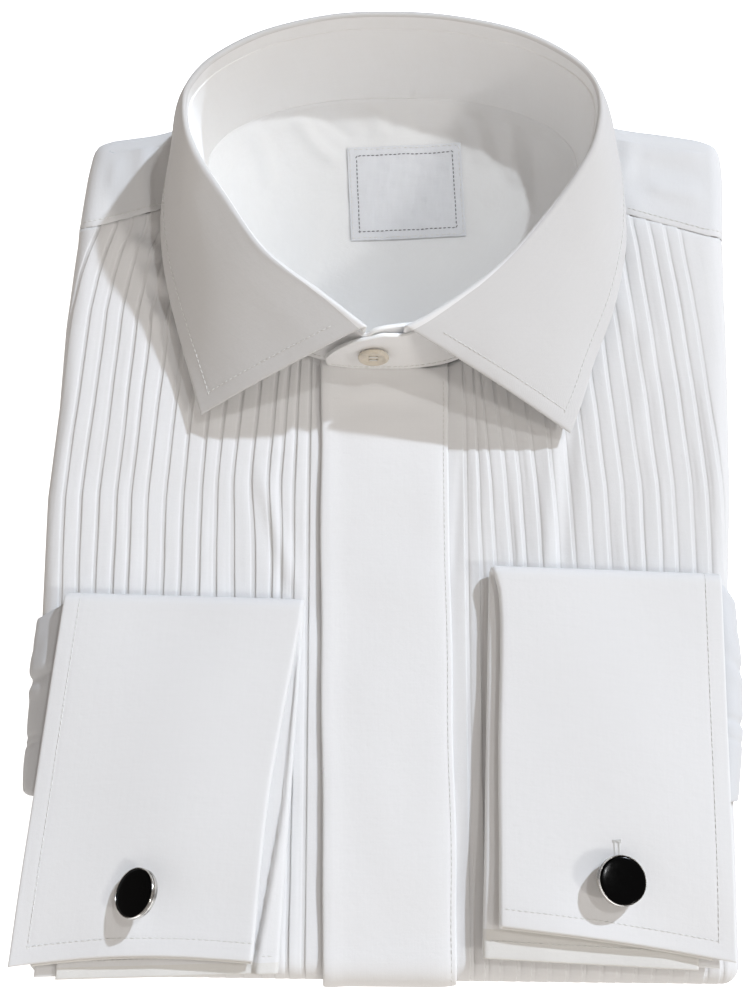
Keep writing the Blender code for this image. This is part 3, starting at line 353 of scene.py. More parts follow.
def place_on(line, distance, from_end):
    """Fractional step at a distance from the start or the end of a line of distances."""
    wanted = line[-1] - distance if from_end else distance
    return float(np.interp(wanted, line, np.arange(len(line))))


# ---------------------------------------------------------------- the folded form

def stack_top(x, y):
    """Top of the hidden layers, lower towards the sides, the shoulders and the hem."""
    fall = SIDE_FALL * np.minimum(np.abs(x) / 125.0, 1.0) ** 3
    fall = fall + SHOULDER_FALL * ease((y - 88.0) / 62.0)
    fall = fall + HEM_FALL * ease((-130.0 - y) / 35.0)
    return STACK_HEIGHT - fall


def hem_y(x):
    """Where the lower fold runs."""
    return blend(HEM_Y[0], HEM_Y[1], (x + HALF_WIDTH) / (2.0 * HALF_WIDTH))


def side_limit(y, side):
    """Where the flat cloth ends and the roll begins, on the right (-1) or left (1)."""
    right = np.interp(y, SIDE_ROWS[:, 0], SIDE_ROWS[:, 1])
    left = np.interp(y, SIDE_ROWS[:, 0], SIDE_ROWS[:, 2])
    return np.where(np.asarray(side) < 0, right + EDGE_REACH, left - EDGE_REACH)


def roll_down(flat_x, flat_y, facing_x, facing_y, over, lift):
    """Cloth that has run the length "over" past its flat part, over the stack's edge."""
    angle = np.minimum(over / ROLL_RADIUS, math.pi / 2)
    drop = np.maximum(over - QUARTER_ROLL, 0.0)
    reach = (ROLL_RADIUS + lift) * np.sin(angle)
    height = stack_top(flat_x, flat_y) - ROLL_RADIUS
    height = height + (ROLL_RADIUS + lift) * np.cos(angle) - drop
    return np.stack((flat_x + facing_x * reach, flat_y + facing_y * reach, height), axis=-1)


def laid(x, y, lift):
    """Cloth over the front, its sides and its lower fold."""
    side = np.where(x < 0, -1.0, 1.0)
    limit_y = hem_y(x) + EDGE_REACH
    flat_y = np.maximum(y, limit_y)
    limit_x = side_limit(flat_y, side)
    past_side = np.maximum(side * (x - limit_x), 0.0)
    past_hem = np.maximum(limit_y - y, 0.0)
    flat_x = np.where(past_side > 0.0, limit_x, x)
    length = np.maximum(np.hypot(past_side, past_hem), 1e-9)
    return roll_down(flat_x, flat_y, side * past_side / length, -past_hem / length,
                     np.maximum(past_side, past_hem), lift)


def neck_points(places, inset=0.0):
    """Points on the neck seam, moved in towards the middle of the neck."""
    points = spline(NECK_ROWS, places, closed=True)
    away = points - NECK_CENTRE
    reach = np.linalg.norm(away, axis=-1, keepdims=True)
    return NECK_CENTRE + away * (1.0 - inset / reach)


def rows_from_back(place):
    """How many of the neck seam's rows a place lies from the middle of the back."""
    half_round = len(NECK_ROWS) / 2.0
    return np.abs((place - NECK_BACK + half_round) % len(NECK_ROWS) - half_round)


def front_top_y(x):
    """Upper edge of the fronts: the neck seam, or the yoke's front seam beside it."""
    places = np.linspace(YOKE_ROWS[-1, 0], len(NECK_ROWS) + YOKE_ROWS[0, 0], 80)
    arc = neck_points(places, STAND_WALL / 2)
    order = np.argsort(arc[:, 0])
    top = np.interp(x, arc[order, 0], arc[order, 1])
    for row, side in ((YOKE_ROWS[0], -1.0), (YOKE_ROWS[-1], 1.0)):
        seam = neck_points(row[0], STAND_WALL)
        limit_x = row[1] - side * EDGE_REACH
        share = np.clip((x - seam[0]) / (limit_x - seam[0]), 0.0, 1.0)
        beside = blend(seam[1], row[2], share) + YOKE_LAP
        top = np.where(side * (x - seam[0]) > 0.0, beside, top)
    return top + np.interp(x, *NECK_EDGE_ROWS.T)


def stand_foot(x, y):
    """Height of the collar band's lower edge over the cloth it is sewn to."""
    on_placket = ease((40.0 - np.abs(x)) / 12.0) * ease((70.0 - y) / 15.0)
    over_placket = PANEL_TOP + PLACKET_ROOM \
        + blend(*PLACKET_LAYERS, ease((x + 22.0) / 8.0)) + SEAM_GAP
    beside = blend(*FOOT_LIFT, ease((y - 112.0) / 14.0))
    return stack_top(x, y) + blend(beside, over_placket, on_placket)


# ---------------------------------------------------------------- cloth walls

class Cloth:
    """A wall of cloth round a grid of points, with soft rounded edges.

    grid holds the points of the visible face if "face" is true, and the middle of the
    wall otherwise. Rows and columns each run along the cloth; the wall narrows to
    nothing at its edges within "edge" millimetres: one number, or one each for the
    first and last row and the first and last column.
    """

    def __init__(self, grid, wall, edge=None, flip=False, face=False, ring=False):
        self.grid = np.asarray(grid, float)
        self.ring = ring
        self.wall = wall
        self.edges = edge if isinstance(edge, tuple) else (edge or wall * 0.6,) * 4
        self.normal = self.find_normals(self.grid)
        if flip:
            self.normal = -self.normal
        self.across = self.distances(1)
        self.along = self.distances(0)
        self.half = self.half_wall()
        if face:
            self.grid = self.grid - self.normal * wall / 2.0

    def find_normals(self, grid):
        if self.ring:
            wide = np.concatenate((grid[:, -1:], grid, grid[:, :1]), axis=1)
            across = np.gradient(wide, axis=1)[:, 1:-1]
        else:
            across = np.gradient(grid, axis=1)
        normal = np.cross(across, np.gradient(grid, axis=0))
        length = np.linalg.norm(normal, axis=2, keepdims=True)
        return normal / np.maximum(length, 1e-12)

    def distances(self, axis):
        """Length along the cloth from its first row (0) or its first column (1)."""
        steps = np.linalg.norm(np.diff(self.grid, axis=axis), axis=2)
        total = np.cumsum(steps, axis=axis)
        first = np.zeros_like(np.take(total, [0], axis=axis))
        return np.concatenate((first, total), axis=axis)

    def half_wall(self):
        def rounded(distance, edge):
            near = np.clip(distance / edge, 0.0, 1.0)
            return np.sqrt(1.0 - (1.0 - near) ** 2)

        half = rounded(self.along, self.edges[0])
        half = half * rounded(self.along[-1:] - self.along, self.edges[1])
        if not self.ring:
            half = half * rounded(self.across, self.edges[2])
            half = half * rounded(self.across[:, -1:] - self.across, self.edges[3])
        return half * self.wall / 2.0

    def press(self, amount):
        """Thin or thicken the wall: amount is added to each side, in millimetres."""
        self.half = self.half + amount * np.minimum(1.0, self.half * 2.0 / self.wall)
        return self

    def outside(self):
        return self.grid + self.normal * self.half[..., None]

    def at(self, rows, columns, values):
        """Values read between the grid's points, at fractional rows and columns."""
        count_rows, count_columns = values.shape[:2]
        rows = np.clip(rows, 0.0, count_rows - 1.001)
        if not self.ring:
            columns = np.clip(columns, 0.0, count_columns - 1.001)
        row, column = np.floor(rows).astype(int), np.floor(columns).astype(int)
        down, right = (rows - row)[:, None], (columns - column)[:, None]
        column, after = column % count_columns, (column + 1) % count_columns
        upper = values[row, column] * (1 - right) + values[row, after] * right
        lower = values[row + 1, column] * (1 - right) + values[row + 1, after] * right
        return upper * (1 - down) + lower * down

    def row_at(self, distance, column, from_end=False):
        """Fractional row at a distance from the first or the last row, in a column."""
        return place_on(self.along[:, column], distance, from_end)

    def column_at(self, distance, row, from_end=False):
        """Fractional column at a distance from the first or the last one, in a row."""
        return place_on(self.across[row], distance, from_end)

    def make(self, name, material, second=None, where=None):
        """Make the closed mesh, with a UV map in millimetres along the cloth.

        The material "second" goes where the grid of truths "where" says.
        """
        count_rows, count_columns = self.grid.shape[:2]
        offset = self.normal * self.half[..., None]
        outer, inner = self.grid + offset, self.grid - offset
        points = np.concatenate((outer.reshape(-1, 3), inner.reshape(-1, 3)))
        last = count_columns if self.ring else count_columns - 1
        row, column = np.meshgrid(np.arange(count_rows - 1), np.arange(last), indexing="ij")
        after = (column + 1) % count_columns
        corners = np.stack((row * count_columns + column, row * count_columns + after,
                            (row + 1) * count_columns + after,
                            (row + 1) * count_columns + column), axis=-1).reshape(-1, 4)
        faces = np.concatenate((corners, corners[:, ::-1] + count_rows * count_columns))
        wide = np.concatenate((self.across, self.across[:, -1:] * 2 - self.across[:, -2:-1]),
                              axis=1)
        right = np.stack((column, column + 1, column + 1, column), axis=-1).reshape(-1, 4)
        down = np.stack((row, row, row + 1, row + 1), axis=-1).reshape(-1, 4)
        u = wide[down, right]
        v = self.along[down, right % count_columns]
        uv = np.stack((u, v), axis=-1)
        uv = np.concatenate((uv, uv[:, ::-1])).reshape(-1, 2)
        if second is None:
            return mesh_object(name, points, faces, (material,), uv)
        slots = np.tile(where[row, column].ravel(), 2)
        return mesh_object(name, points, faces, (material, second), uv, slots)


def mesh_object(name, points, faces, materials, uv=None, slots=None):
    """Object from points in millimetres, with its doubles merged and faces outward."""
    mesh = bpy.data.meshes.new(name)
    mesh.from_pydata((np.asarray(points) * MILLIMETRE).tolist(), [],
                     np.asarray(faces).tolist() if uv is not None else faces)
    if uv is not None:
        layer = mesh.uv_layers.new(name="cloth")
        layer.data.foreach_set("uv", np.asarray(uv, np.float32).ravel())
    for material in materials:
        mesh.materials.append(material)
    if slots is not None:
        mesh.polygons.foreach_set("material_index", np.asarray(slots, np.int32))
    work = bmesh.new()
    work.from_mesh(mesh)
    bmesh.ops.remove_doubles(work, verts=work.verts, dist=2e-6)
    bmesh.ops.recalc_face_normals(work, faces=work.faces)
    work.to_mesh(mesh)
    work.free()
    mesh.shade_smooth()
    piece = bpy.data.objects.new(name, mesh)
    SCENE.collection.objects.link(piece)
    return piece


# ---------------------------------------------------------------- node trees

def add_node(tree, kind, inputs=None, **settings):
    """Add a node; inputs maps a socket's name or number to a value or another socket."""
    node = tree.nodes.new(kind)
    for key, value in settings.items():
        setattr(node, key, value)
    for key, value in (inputs or {}).items():
        if isinstance(value, bpy.types.NodeSocket):
            tree.links.new(value, node.inputs[key])
        else:
            node.inputs[key].default_value = value
    return node


def math_node(tree, operation, first, second=0.0):
    return add_node(tree, "ShaderNodeMath", {0: first, 1: second},
                    operation=operation).outputs[0]


def new_material(name, colour, roughness, **sockets):
    """A plain material, with its nodes, its shader and the place on the piece."""
    material = bpy.data.materials.new(name)
    material.use_nodes = True
    shader = material.node_tree.nodes["Principled BSDF"]
    shader.inputs["Base Color"].default_value = (*colour, 1.0)
    shader.inputs["Roughness"].default_value = roughness
    for key, value in sockets.items():
        shader.inputs[key.replace("_", " ").title().replace("Ior", "IOR")].default_value = value
    place = add_node(material.node_tree, "ShaderNodeTexCoord").outputs["Object"]
    return material, material.node_tree, shader, place


def noise(tree, vector, scale, detail=3.0, roughness=0.5):
    return add_node(tree, "ShaderNodeTexNoise",
                    {"Vector": vector, "Scale": scale, "Detail": detail,
                     "Roughness": roughness}).outputs["Fac"]


def bump(tree, height, distance, strength=1.0, normal=None):
    inputs = {"Height": height, "Distance": distance, "Strength": strength}
    if normal is not None:
        inputs["Normal"] = normal
    return add_node(tree, "ShaderNodeBump", inputs).outputs["Normal"]


def colour_ramp(tree, share, first, last, start=0.0, end=1.0):
    """Colour that goes from first to last while the share goes from start to end."""
    ramp = add_node(tree, "ShaderNodeValToRGB", {"Fac": share})
    for number, (place, colour) in enumerate(((start, first), (end, last))):
        ramp.color_ramp.elements[number].position = place
        ramp.color_ramp.elements[number].color = (*colour, 1.0)
    return ramp.outputs["Color"]


def value_range(tree, share, low, high):
    return add_node(tree, "ShaderNodeMapRange",
                    {"Value": share, "To Min": low, "To Max": high}).outputs[0]


def brighter(colour, times):
    return [min(value * times, 1.0) for value in colour]


def woven(name, colour, pitch, relief, sheen, roughness=0.82, twill=0.0, crinkle=0.00012,
          shade=0.06):
    """Plain or twill weave on the piece's own UV map, which is in millimetres."""
    material, tree, shader, place = new_material(
        name, colour, roughness, sheen_weight=sheen, sheen_roughness=0.45,
        specular_ior_level=0.28)
    uv = add_node(tree, "ShaderNodeTexCoord").outputs["UV"]
    split = add_node(tree, "ShaderNodeSeparateXYZ", {0: uv})
    turn = math.tau / pitch
    warp = math_node(tree, "MULTIPLY", split.outputs["X"], turn)
    weft = math_node(tree, "MULTIPLY", split.outputs["Y"], turn)
    if twill:
        warp = math_node(tree, "ADD", warp, math_node(tree, "MULTIPLY", weft, twill))
    over = math_node(tree, "MULTIPLY", math_node(tree, "SINE", warp),
                     math_node(tree, "SINE", weft))
    thread = math_node(tree, "ADD", math_node(tree, "MULTIPLY", over, 0.5), 0.5)
    slubs = []
    for stretch in ((0.06, 1.3, 1.0), (1.3, 0.05, 1.0)):
        along = add_node(tree, "ShaderNodeMapping", {"Vector": uv, "Scale": stretch})
        slubs.append(noise(tree, along.outputs[0], scale=1.0, detail=2.0))
    slub = math_node(tree, "ADD", *slubs)
    fine = math_node(tree, "ADD", math_node(tree, "MULTIPLY", thread, 0.6),
                     math_node(tree, "MULTIPLY", slub, 0.5))
    creased = noise(tree, place, scale=260.0, detail=4.0, roughness=0.6)
    normal = bump(tree, creased, distance=crinkle)
    normal = bump(tree, fine, distance=relief, strength=1.0, normal=normal)
    tree.links.new(normal, shader.inputs["Normal"])
    # Painted shade: the colour is darker between the threads and in soft clouds, and it also
    # varies at random with the slubs.
    cloudy = noise(tree, place, scale=22.0, detail=3.0)
    tone = math_node(tree, "ADD", math_node(tree, "MULTIPLY", thread, shade),
                     math_node(tree, "MULTIPLY", slub, shade * 0.5))
    tone = math_node(tree, "ADD", tone, math_node(tree, "MULTIPLY", cloudy, shade * 0.6))
    shaded = colour_ramp(tree, tone, brighter(colour, 1.0 - shade),
                         brighter(colour, 1.0 + shade * 0.6), start=shade * 0.3, end=shade * 2.2)
    tree.links.new(shaded, shader.inputs["Base Color"])
    return material


def white_cotton(part, colour, relief=0.00003, crinkle=0.00012):
    """Fine plain weave, 0.36 mm from one thread to the next but one."""
    return woven("white_cotton" + part, colour, pitch=0.36, relief=relief, sheen=0.15,
                 crinkle=crinkle)


def thread_material(name, colour):
    """Twisted sewing thread."""
    material, tree, shader, place = new_material(name, colour, 0.6, sheen_weight=0.25)
    plies = noise(tree, place, scale=3500.0, detail=2.0)
    tree.links.new(bump(tree, plies, distance=0.00005), shader.inputs["Normal"])
    tone = colour_ramp(tree, plies, brighter(colour, 0.8), brighter(colour, 1.1))
    tree.links.new(tone, shader.inputs["Base Color"])
    return material


def metal_material(name, colour, roughness):
    """Polished metal with hairline marks, and darker spots painted in as dark reflections."""
    material, tree, shader, place = new_material(name, colour, roughness, metallic=1.0)
    long_marks = add_node(tree, "ShaderNodeMapping", {"Vector": place, "Scale": (1, 9, 3)})
    marks = noise(tree, long_marks.outputs[0], scale=900.0, detail=4.0, roughness=0.7)
    tree.links.new(value_range(tree, marks, low=roughness * 0.6, high=roughness * 2.0),
                   shader.inputs["Roughness"])
    tree.links.new(bump(tree, marks, distance=0.000004), shader.inputs["Normal"])
    # Painted reflection: darker spots in the colour stand in for dark surroundings seen in the
    # polish.
    spots = noise(tree, place, scale=260.0, detail=2.0)
    painted_reflections = colour_ramp(tree, spots, brighter(colour, 0.42), colour, start=0.40, end=0.56)
    tree.links.new(painted_reflections, shader.inputs["Base Color"])
    return material


def enamel_material(name, colour):
    """Glossy enamel with faint polishing swirls."""
    material, tree, shader, place = new_material(name, colour, 0.12, specular_ior_level=0.05)
    swirl = noise(tree, place, scale=600.0, detail=3.0)
    tree.links.new(value_range(tree, swirl, low=0.06, high=0.18), shader.inputs["Roughness"])
    tree.links.new(bump(tree, swirl, distance=0.000003), shader.inputs["Normal"])
    return material


def resin_material(name, colour):
    """Milky button resin with soft pearly bands."""
    material, tree, shader, place = new_material(name, colour, 0.28, subsurface_weight=0.12,
                                                 specular_ior_level=0.5)
    shader.inputs["Subsurface Radius"].default_value = (0.004, 0.003, 0.002)
    shader.inputs["Subsurface Scale"].default_value = 0.4
    bands = noise(tree, place, scale=320.0, detail=4.0, roughness=0.6)
    pearly = colour_ramp(tree, bands, brighter(colour, 0.86), brighter(colour, 1.08),
                         start=0.3, end=0.7)
    tree.links.new(pearly, shader.inputs["Base Color"])
    tree.links.new(bump(tree, bands, distance=0.00002), shader.inputs["Normal"])
    return material


cotton = white_cotton("", (0.81, 0.81, 0.81))
# A lighter copy, for the placket and the left cuff; on the left cuff it is painted light.
cotton_light_copy = white_cotton("_light_copy", (0.85, 0.85, 0.85))
# Darker copy for the collar's leaf: painted shade.
cotton_collar_painted_shade = white_cotton("_collar", (0.69, 0.685, 0.68))
# Copy for the yoke, a touch darker and cooler, toned to the light on it: painted shade.
cotton_yoke = white_cotton("_yoke", (0.80, 0.805, 0.81))
# Darker, bluer copy for the sleeves: painted shade.
cotton_sleeve_painted_shade = white_cotton("_sleeve", (0.70, 0.71, 0.725))
# Lighter copy for the band and the collar leaf's turned-in part: painted light, for the inside of
# the neck.
cotton_band_painted_light = white_cotton("_band", (0.89, 0.89, 0.89))
# Lighter, cooler copy for the inside of the neck: painted light.
cotton_lining_painted_light = white_cotton("_inside", (0.87, 0.88, 0.89), crinkle=0.00018)
# Darker, warmer copy for the cuffs' layered ends and the hidden folded layers: painted shade.
cotton_edges_painted_shade = white_cotton("_edges", (0.78, 0.77, 0.74), relief=0.00004, crinkle=0.0002)
satin = woven("label_satin", (0.78, 0.80, 0.84), pitch=0.30, relief=0.00005, sheen=0.3,
              roughness=0.5, twill=0.5, crinkle=0.0003, shade=0.1)
white_thread = thread_material("white_thread", (0.80, 0.80, 0.78))
grey_thread = thread_material("grey_thread", (0.24, 0.24, 0.26))
silver = metal_material("polished_silver", (0.74, 0.72, 0.69), roughness=0.13)
enamel = enamel_material("black_enamel", (0.002, 0.002, 0.002))
resin = resin_material("cream_resin", (0.70, 0.64, 0.54))


def stitch_tree():
    """Geometry nodes: a stitch at every pitch along a line, lying along it."""
    tree = bpy.data.node_groups.new("row_of_stitches", "GeometryNodeTree")
    sockets = (("Line", "NodeSocketGeometry"), ("Pitch", "NodeSocketFloat"),
               ("Length", "NodeSocketFloat"), ("Width", "NodeSocketFloat"),
               ("Thread", "NodeSocketFloat"),
               ("Unevenness", "NodeSocketFloat"), ("Seed", "NodeSocketInt"),
               ("Material", "NodeSocketMaterial"))
    for name, kind in sockets:
        tree.interface.new_socket(name, in_out="INPUT", socket_type=kind)
    tree.interface.new_socket("Stitches", in_out="OUTPUT", socket_type="NodeSocketGeometry")
    given = add_node(tree, "NodeGroupInput").outputs
    curve = add_node(tree, "GeometryNodeMeshToCurve", {0: given["Line"]})
    points = add_node(tree, "GeometryNodeResampleCurve",
                      {"Curve": curve.outputs[0], "Length": given["Pitch"]}, mode="LENGTH")
    ball = add_node(tree, "GeometryNodeMeshUVSphere",
                    {"Segments": 7, "Rings": 5, "Radius": 0.5})
    size = add_node(tree, "ShaderNodeCombineXYZ",
                    {0: given["Length"], 1: given["Width"], 2: given["Thread"]})
    stitch = add_node(tree, "GeometryNodeTransform",
                      {"Geometry": ball.outputs[0], "Scale": size.outputs[0]})
    tangent = add_node(tree, "GeometryNodeInputTangent").outputs[0]
    low = math_node(tree, "MULTIPLY", given["Unevenness"], -1.0)
    jitter = add_node(tree, "FunctionNodeRandomValue", data_type="FLOAT_VECTOR")
    for socket, value in (("Min", low), ("Max", given["Unevenness"])):
        wanted = next(s for s in jitter.inputs if s.name == socket and s.type == "VECTOR")
        tree.links.new(value, wanted)
    tree.links.new(given["Seed"], jitter.inputs["Seed"])
    aimed = add_node(tree, "ShaderNodeVectorMath",
                     {0: tangent, 1: jitter.outputs[0]}, operation="ADD")
    facing = add_node(tree, "GeometryNodeInputNamedAttribute", {"Name": "facing"},
                      data_type="FLOAT_VECTOR")
    along = add_node(tree, "FunctionNodeAlignRotationToVector",
                     {"Vector": aimed.outputs[0]}, axis="X")
    up = add_node(tree, "FunctionNodeAlignRotationToVector",
                  {"Rotation": along.outputs[0], "Vector": facing.outputs[0]},
                  axis="Z", pivot_axis="X")
    placed = add_node(tree, "GeometryNodeInstanceOnPoints",
                      {"Points": points.outputs[0], "Instance": stitch.outputs[0],
                       "Rotation": up.outputs[0]})
    real = add_node(tree, "GeometryNodeRealizeInstances", {0: placed.outputs[0]})
    dressed = add_node(tree, "GeometryNodeSetMaterial",
                       {"Geometry": real.outputs[0], "Material": given["Material"]})
    add_node(tree, "NodeGroupOutput", {0: dressed.outputs[0]})
    return tree


STITCH_TREE = stitch_tree()


def sew(name, lines, thread=white_thread, pitch=STITCH_PITCH, length=STITCH_LENGTH,
        width=THREAD, unevenness=0.05, seed=1):
    """Rows of stitches along lines, each its points and their facings; one plain mesh."""
    points, facings, edges = [], [], []
    for line_points, line_facings in lines:
        start = len(points)
        points += [tuple(point * MILLIMETRE) for point in line_points]
        facings += [tuple(facing) for facing in line_facings]
        edges += [(start + step, start + step + 1) for step in range(len(line_points) - 1)]
    guide_mesh = bpy.data.meshes.new(name + "_line")
    guide_mesh.from_pydata(points, edges, [])
    facing = guide_mesh.attributes.new("facing", "FLOAT_VECTOR", "POINT")
    facing.data.foreach_set("vector", np.asarray(facings, np.float32).ravel())
    guide = bpy.data.objects.new(name + "_line", guide_mesh)
    SCENE.collection.objects.link(guide)
    modifier = guide.modifiers.new("stitches", "NODES")
    modifier.node_group = STITCH_TREE
    values = {"Pitch": pitch * MILLIMETRE, "Length": length * MILLIMETRE,
              "Width": width * MILLIMETRE, "Thread": THREAD * MILLIMETRE,
              "Unevenness": unevenness, "Seed": seed,
              "Material": thread}
    for item in STITCH_TREE.interface.items_tree:
        if item.in_out == "INPUT" and item.name in values:
            modifier[item.identifier] = values[item.name]
    guide_mesh.update()
    ready = guide.evaluated_get(bpy.context.evaluated_depsgraph_get())
    mesh = bpy.data.meshes.new_from_object(ready)
    guide.modifiers.remove(modifier)
    bpy.data.objects.remove(guide)
    mesh.name = name
    mesh.shade_smooth()
    piece = bpy.data.objects.new(name, mesh)
    SCENE.collection.objects.link(piece)
    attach(piece, "root")
    return piece


def seam_line(cloth, rows, columns, inside=False):
    """Points and facings on one side of a cloth, at fractional rows and columns."""
    rows, columns = np.broadcast_arrays(np.asarray(rows, float), np.asarray(columns, float))
    facing = cloth.at(rows, columns, cloth.normal)
    facing = facing / np.maximum(np.linalg.norm(facing, axis=1, keepdims=True), 1e-9)
    if inside:
        facing = -facing
    half = cloth.at(rows, columns, cloth.half[..., None])
    return cloth.at(rows, columns, cloth.grid) + facing * (half + STITCH_RAISE), facing


def line_across(cloth, distance, from_column, to_column, from_end=False):
    """Stitch line over the columns, at a distance from the first or the last row."""
    columns = np.arange(from_column, to_column + 0.01, LINE_STEP)
    rows = [cloth.row_at(distance, int(round(column)), from_end) for column in columns]
    return seam_line(cloth, rows, columns)


def line_along(cloth, distance, from_row, to_row, from_end=False, inside=False):
    """Stitch line over the rows, at a distance from the first or the last column."""
    rows = np.arange(from_row, to_row + 0.01, LINE_STEP)
    columns = [cloth.column_at(distance, int(round(row)), from_end) for row in rows]
    return seam_line(cloth, rows, columns, inside)


def dressed(piece, node, slot="white_cotton"):
    """A finished piece that stands for a node of the frame."""
    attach(piece, "root")
    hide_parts(node)
    return piece


def groove(distance, width=0.7, depth=0.09):
    """How far a row of stitches pulls a wall in, at a distance from the row."""
    return -depth * np.exp(-(distance / width) ** 2)


# ---------------------------------------------------------------- fronts and placket

# Lengths past the flat part at which rows of cloth run over the lower fold
HEM_OVERS = np.array((0.0, 1.6, 3.1, 4.7, 6.2, 7.8, 9.42, 11.2, QUARTER_ROLL + WRAP_DROP))
FRONT_LIFT = 0.85
FRONT_WALL = 0.24
UNDER_PLACKET = {"right": 11.0, "left": 20.6}   # where the fronts begin, under the placket
DRAWN_FROM = 27.0              # from here out the fronts follow the slant of the sides
# Unevenness of the pleats' edges, all along and towards the neck
PLEAT_SWAY = {"right": (0.2, 0.35), "left": (0.15, 0.12)}
FRONT_CREASES = (
    (-49.0, 4.0, -33.0, -44.0, 3.4, 0.75, 0.6),
    (-53.5, 8.0, -37.5, -44.0, 3.0, -0.35, 0.3),
    (-101.0, 96.0, -90.0, 90.0, 2.6, 1.7, 0.0),
    (-99.0, 101.5, -89.0, 96.0, 2.2, -1.0, 0.0),
    (-95.0, 84.0, -84.0, 78.0, 2.8, 1.6, 0.0),
    (-93.0, 76.0, -83.0, 70.0, 2.4, -1.0, 0.0),
    (-91.5, 66.0, -81.0, 60.0, 3.0, 1.4, 0.0),
    (-88.0, 22.0, -97.0, -38.0, 7.0, 0.35, 1.0),
    (-34.0, -62.0, -38.0, -120.0, 4.0, 0.3, 0.5),
    (70.0, 38.0, 64.0, -36.0, 3.0, -1.0, 1.0),
    (62.0, 30.0, 57.5, -36.0, 3.0, 0.7, 0.5),
    (26.5, 12.0, 23.5, -34.0, 1.8, -0.5, 0.0),
    (99.0, 60.0, 91.0, 10.0, 4.0, 0.5, 0.8),
    (84.0, 88.0, 92.0, 60.0, 4.0, 0.6, 1.0),
    (30.0, -70.0, 33.0, -140.0, 4.0, 0.3, -0.5),
)


def hand(side):
    """The wearer's side that a sign stands for."""
    return "right" if side < 0 else "left"


def pleated_columns(side):
    """Columns across one front: distance from the middle, height and pleat number.

    Also returns where the last pleat ends and how far out the cloth goes.
    """
    edges = PLEAT_EDGES[hand(side)]
    first = edges[0] + PLEAT_SECTION[0][0]
    columns = [(place, blend(0.15, 0.8, share), 0)
               for place, share in zip(np.linspace(UNDER_PLACKET[hand(side)], first - 0.9, 6),
                                       np.linspace(0.0, 1.0, 6))]
    for number, edge in enumerate(edges):
        columns += [(edge + out, height, number) for out, height in PLEAT_SECTION]
        if number + 1 < len(edges):
            after = edges[number + 1] + PLEAT_SECTION[0][0]
            columns += [(blend(edge + PLEAT_SECTION[-1][0], after, share), height, number)
                        for share, height in STRIP_SECTION]
    end = abs(side_limit(0.0, side)) + QUARTER_ROLL + WRAP_DROP
    last = edges[-1] + PLEAT_SECTION[-1][0]
    outer = np.linspace(last + 0.6, end, 6)
    columns += [(place, 0.4, len(edges) - 1) for place in outer]
    return np.array(columns), last, end


def front_columns_at(y, side, distance, last, end):
    """Length from the middle of one front, out over its side, at heights y."""
    reference = abs(side_limit(0.0, side))
    low = np.abs(side_limit(np.minimum(y, 0.0), side))
    scale = (low - DRAWN_FROM) / (reference - DRAWN_FROM)
    lean = np.interp(y, *np.array(PLEAT_LEAN[hand(side)]).T)

    def drawn_in(place):
        past = np.maximum(place - DRAWN_FROM, 0.0)
        return np.minimum(place, DRAWN_FROM) + past * scale - lean * ease(past / 18.0)

    limit = np.abs(side_limit(y, side)) + end - reference
    beyond = np.clip((distance - last) / (end - last), 0.0, 1.0)
    return np.where(distance <= last, drawn_in(distance),
                    blend(drawn_in(last), limit, beyond))


def rows_up(limit, top, count):
    """Heights of a front's rows: over the lower fold, then up to the neck or the yoke."""
    up = np.linspace(0.0, 1.0, count)[1:, None]
    return np.concatenate((limit - HEM_OVERS[::-1, None], blend(limit, top, up)))


def front_cloth(side):
    """One pleated front: its middle runs under the placket, its outer part over the side."""
    columns, last, end = pleated_columns(side)
    distance, height, number = columns.T
    top = np.full(len(distance), 60.0)
    for _turn in range(5):
        top = front_top_y(side * front_columns_at(top, side, distance, last, end))
    limit = hem_y(side * distance) + EDGE_REACH
    y = rows_up(limit, top, 104)
    level = np.maximum(y, limit)
    x = front_columns_at(level, side, distance, last, end)
    sway, top_sway = PLEAT_SWAY[hand(side)]
    swayed = waves(number * 13.1, level, size=46.0, seed=5 + int(side))
    x = x + sway * swayed * ease((distance - 28) / 9)
    swayed = waves(number * 7.7, level, size=30.0, seed=15 + int(side))
    x = x + top_sway * swayed * ease((level - 55.0) / 25.0)
    if side < 0:
        # low beside the placket the pleats are drawn in a little
        drawn = ease((14.0 - level) / 50.0) * ease((level + 165.0) / 60.0)
        x = x - 2.8 * drawn * np.exp(-((x - 49.0) / 9.0) ** 2)
    rise = PLEAT_FLATNESS * height
    rise = rise * (1.0 + 0.16 * waves(number * 9.7, level, size=40.0, seed=9 + int(side)))
    past = x - np.abs(side_limit(level, side))
    # the pleats flatten over the side, at the neck and over the lower fold
    rise = rise * ease((8.5 - past) / 4.0)
    rise = rise * (1.0 - 0.65 * ease(1.0 - (top - y) / 6.0))
    rise = rise * (1.0 - 0.8 * ease((limit - y) / 7.0))
    flat = ease((3.0 - past) / 4.0) * ease((y - limit) / 10.0) * ease((top - y) / 14.0)
    rise = rise + flat * creases(side * x, y, FRONT_CREASES)
    rise = rise + 0.16 * flat * waves(x, y, size=34.0, seed=21 + int(side))
    if side < 0:
        # the neck edge rises to the band's foot, so that no light comes in under it
        neck_x, neck_y = side * x[-1], y[-1]
        up_to_band = stand_foot(neck_x, neck_y) - stack_top(neck_x, neck_y) - 0.1
        up_to_band = up_to_band - FRONT_LIFT - rise[-1]
        rise[-1] += ease((40.0 - x[-1]) / 5.0) * up_to_band
    return Cloth(laid(side * x, y, FRONT_LIFT + rise), FRONT_WALL, flip=side < 0)


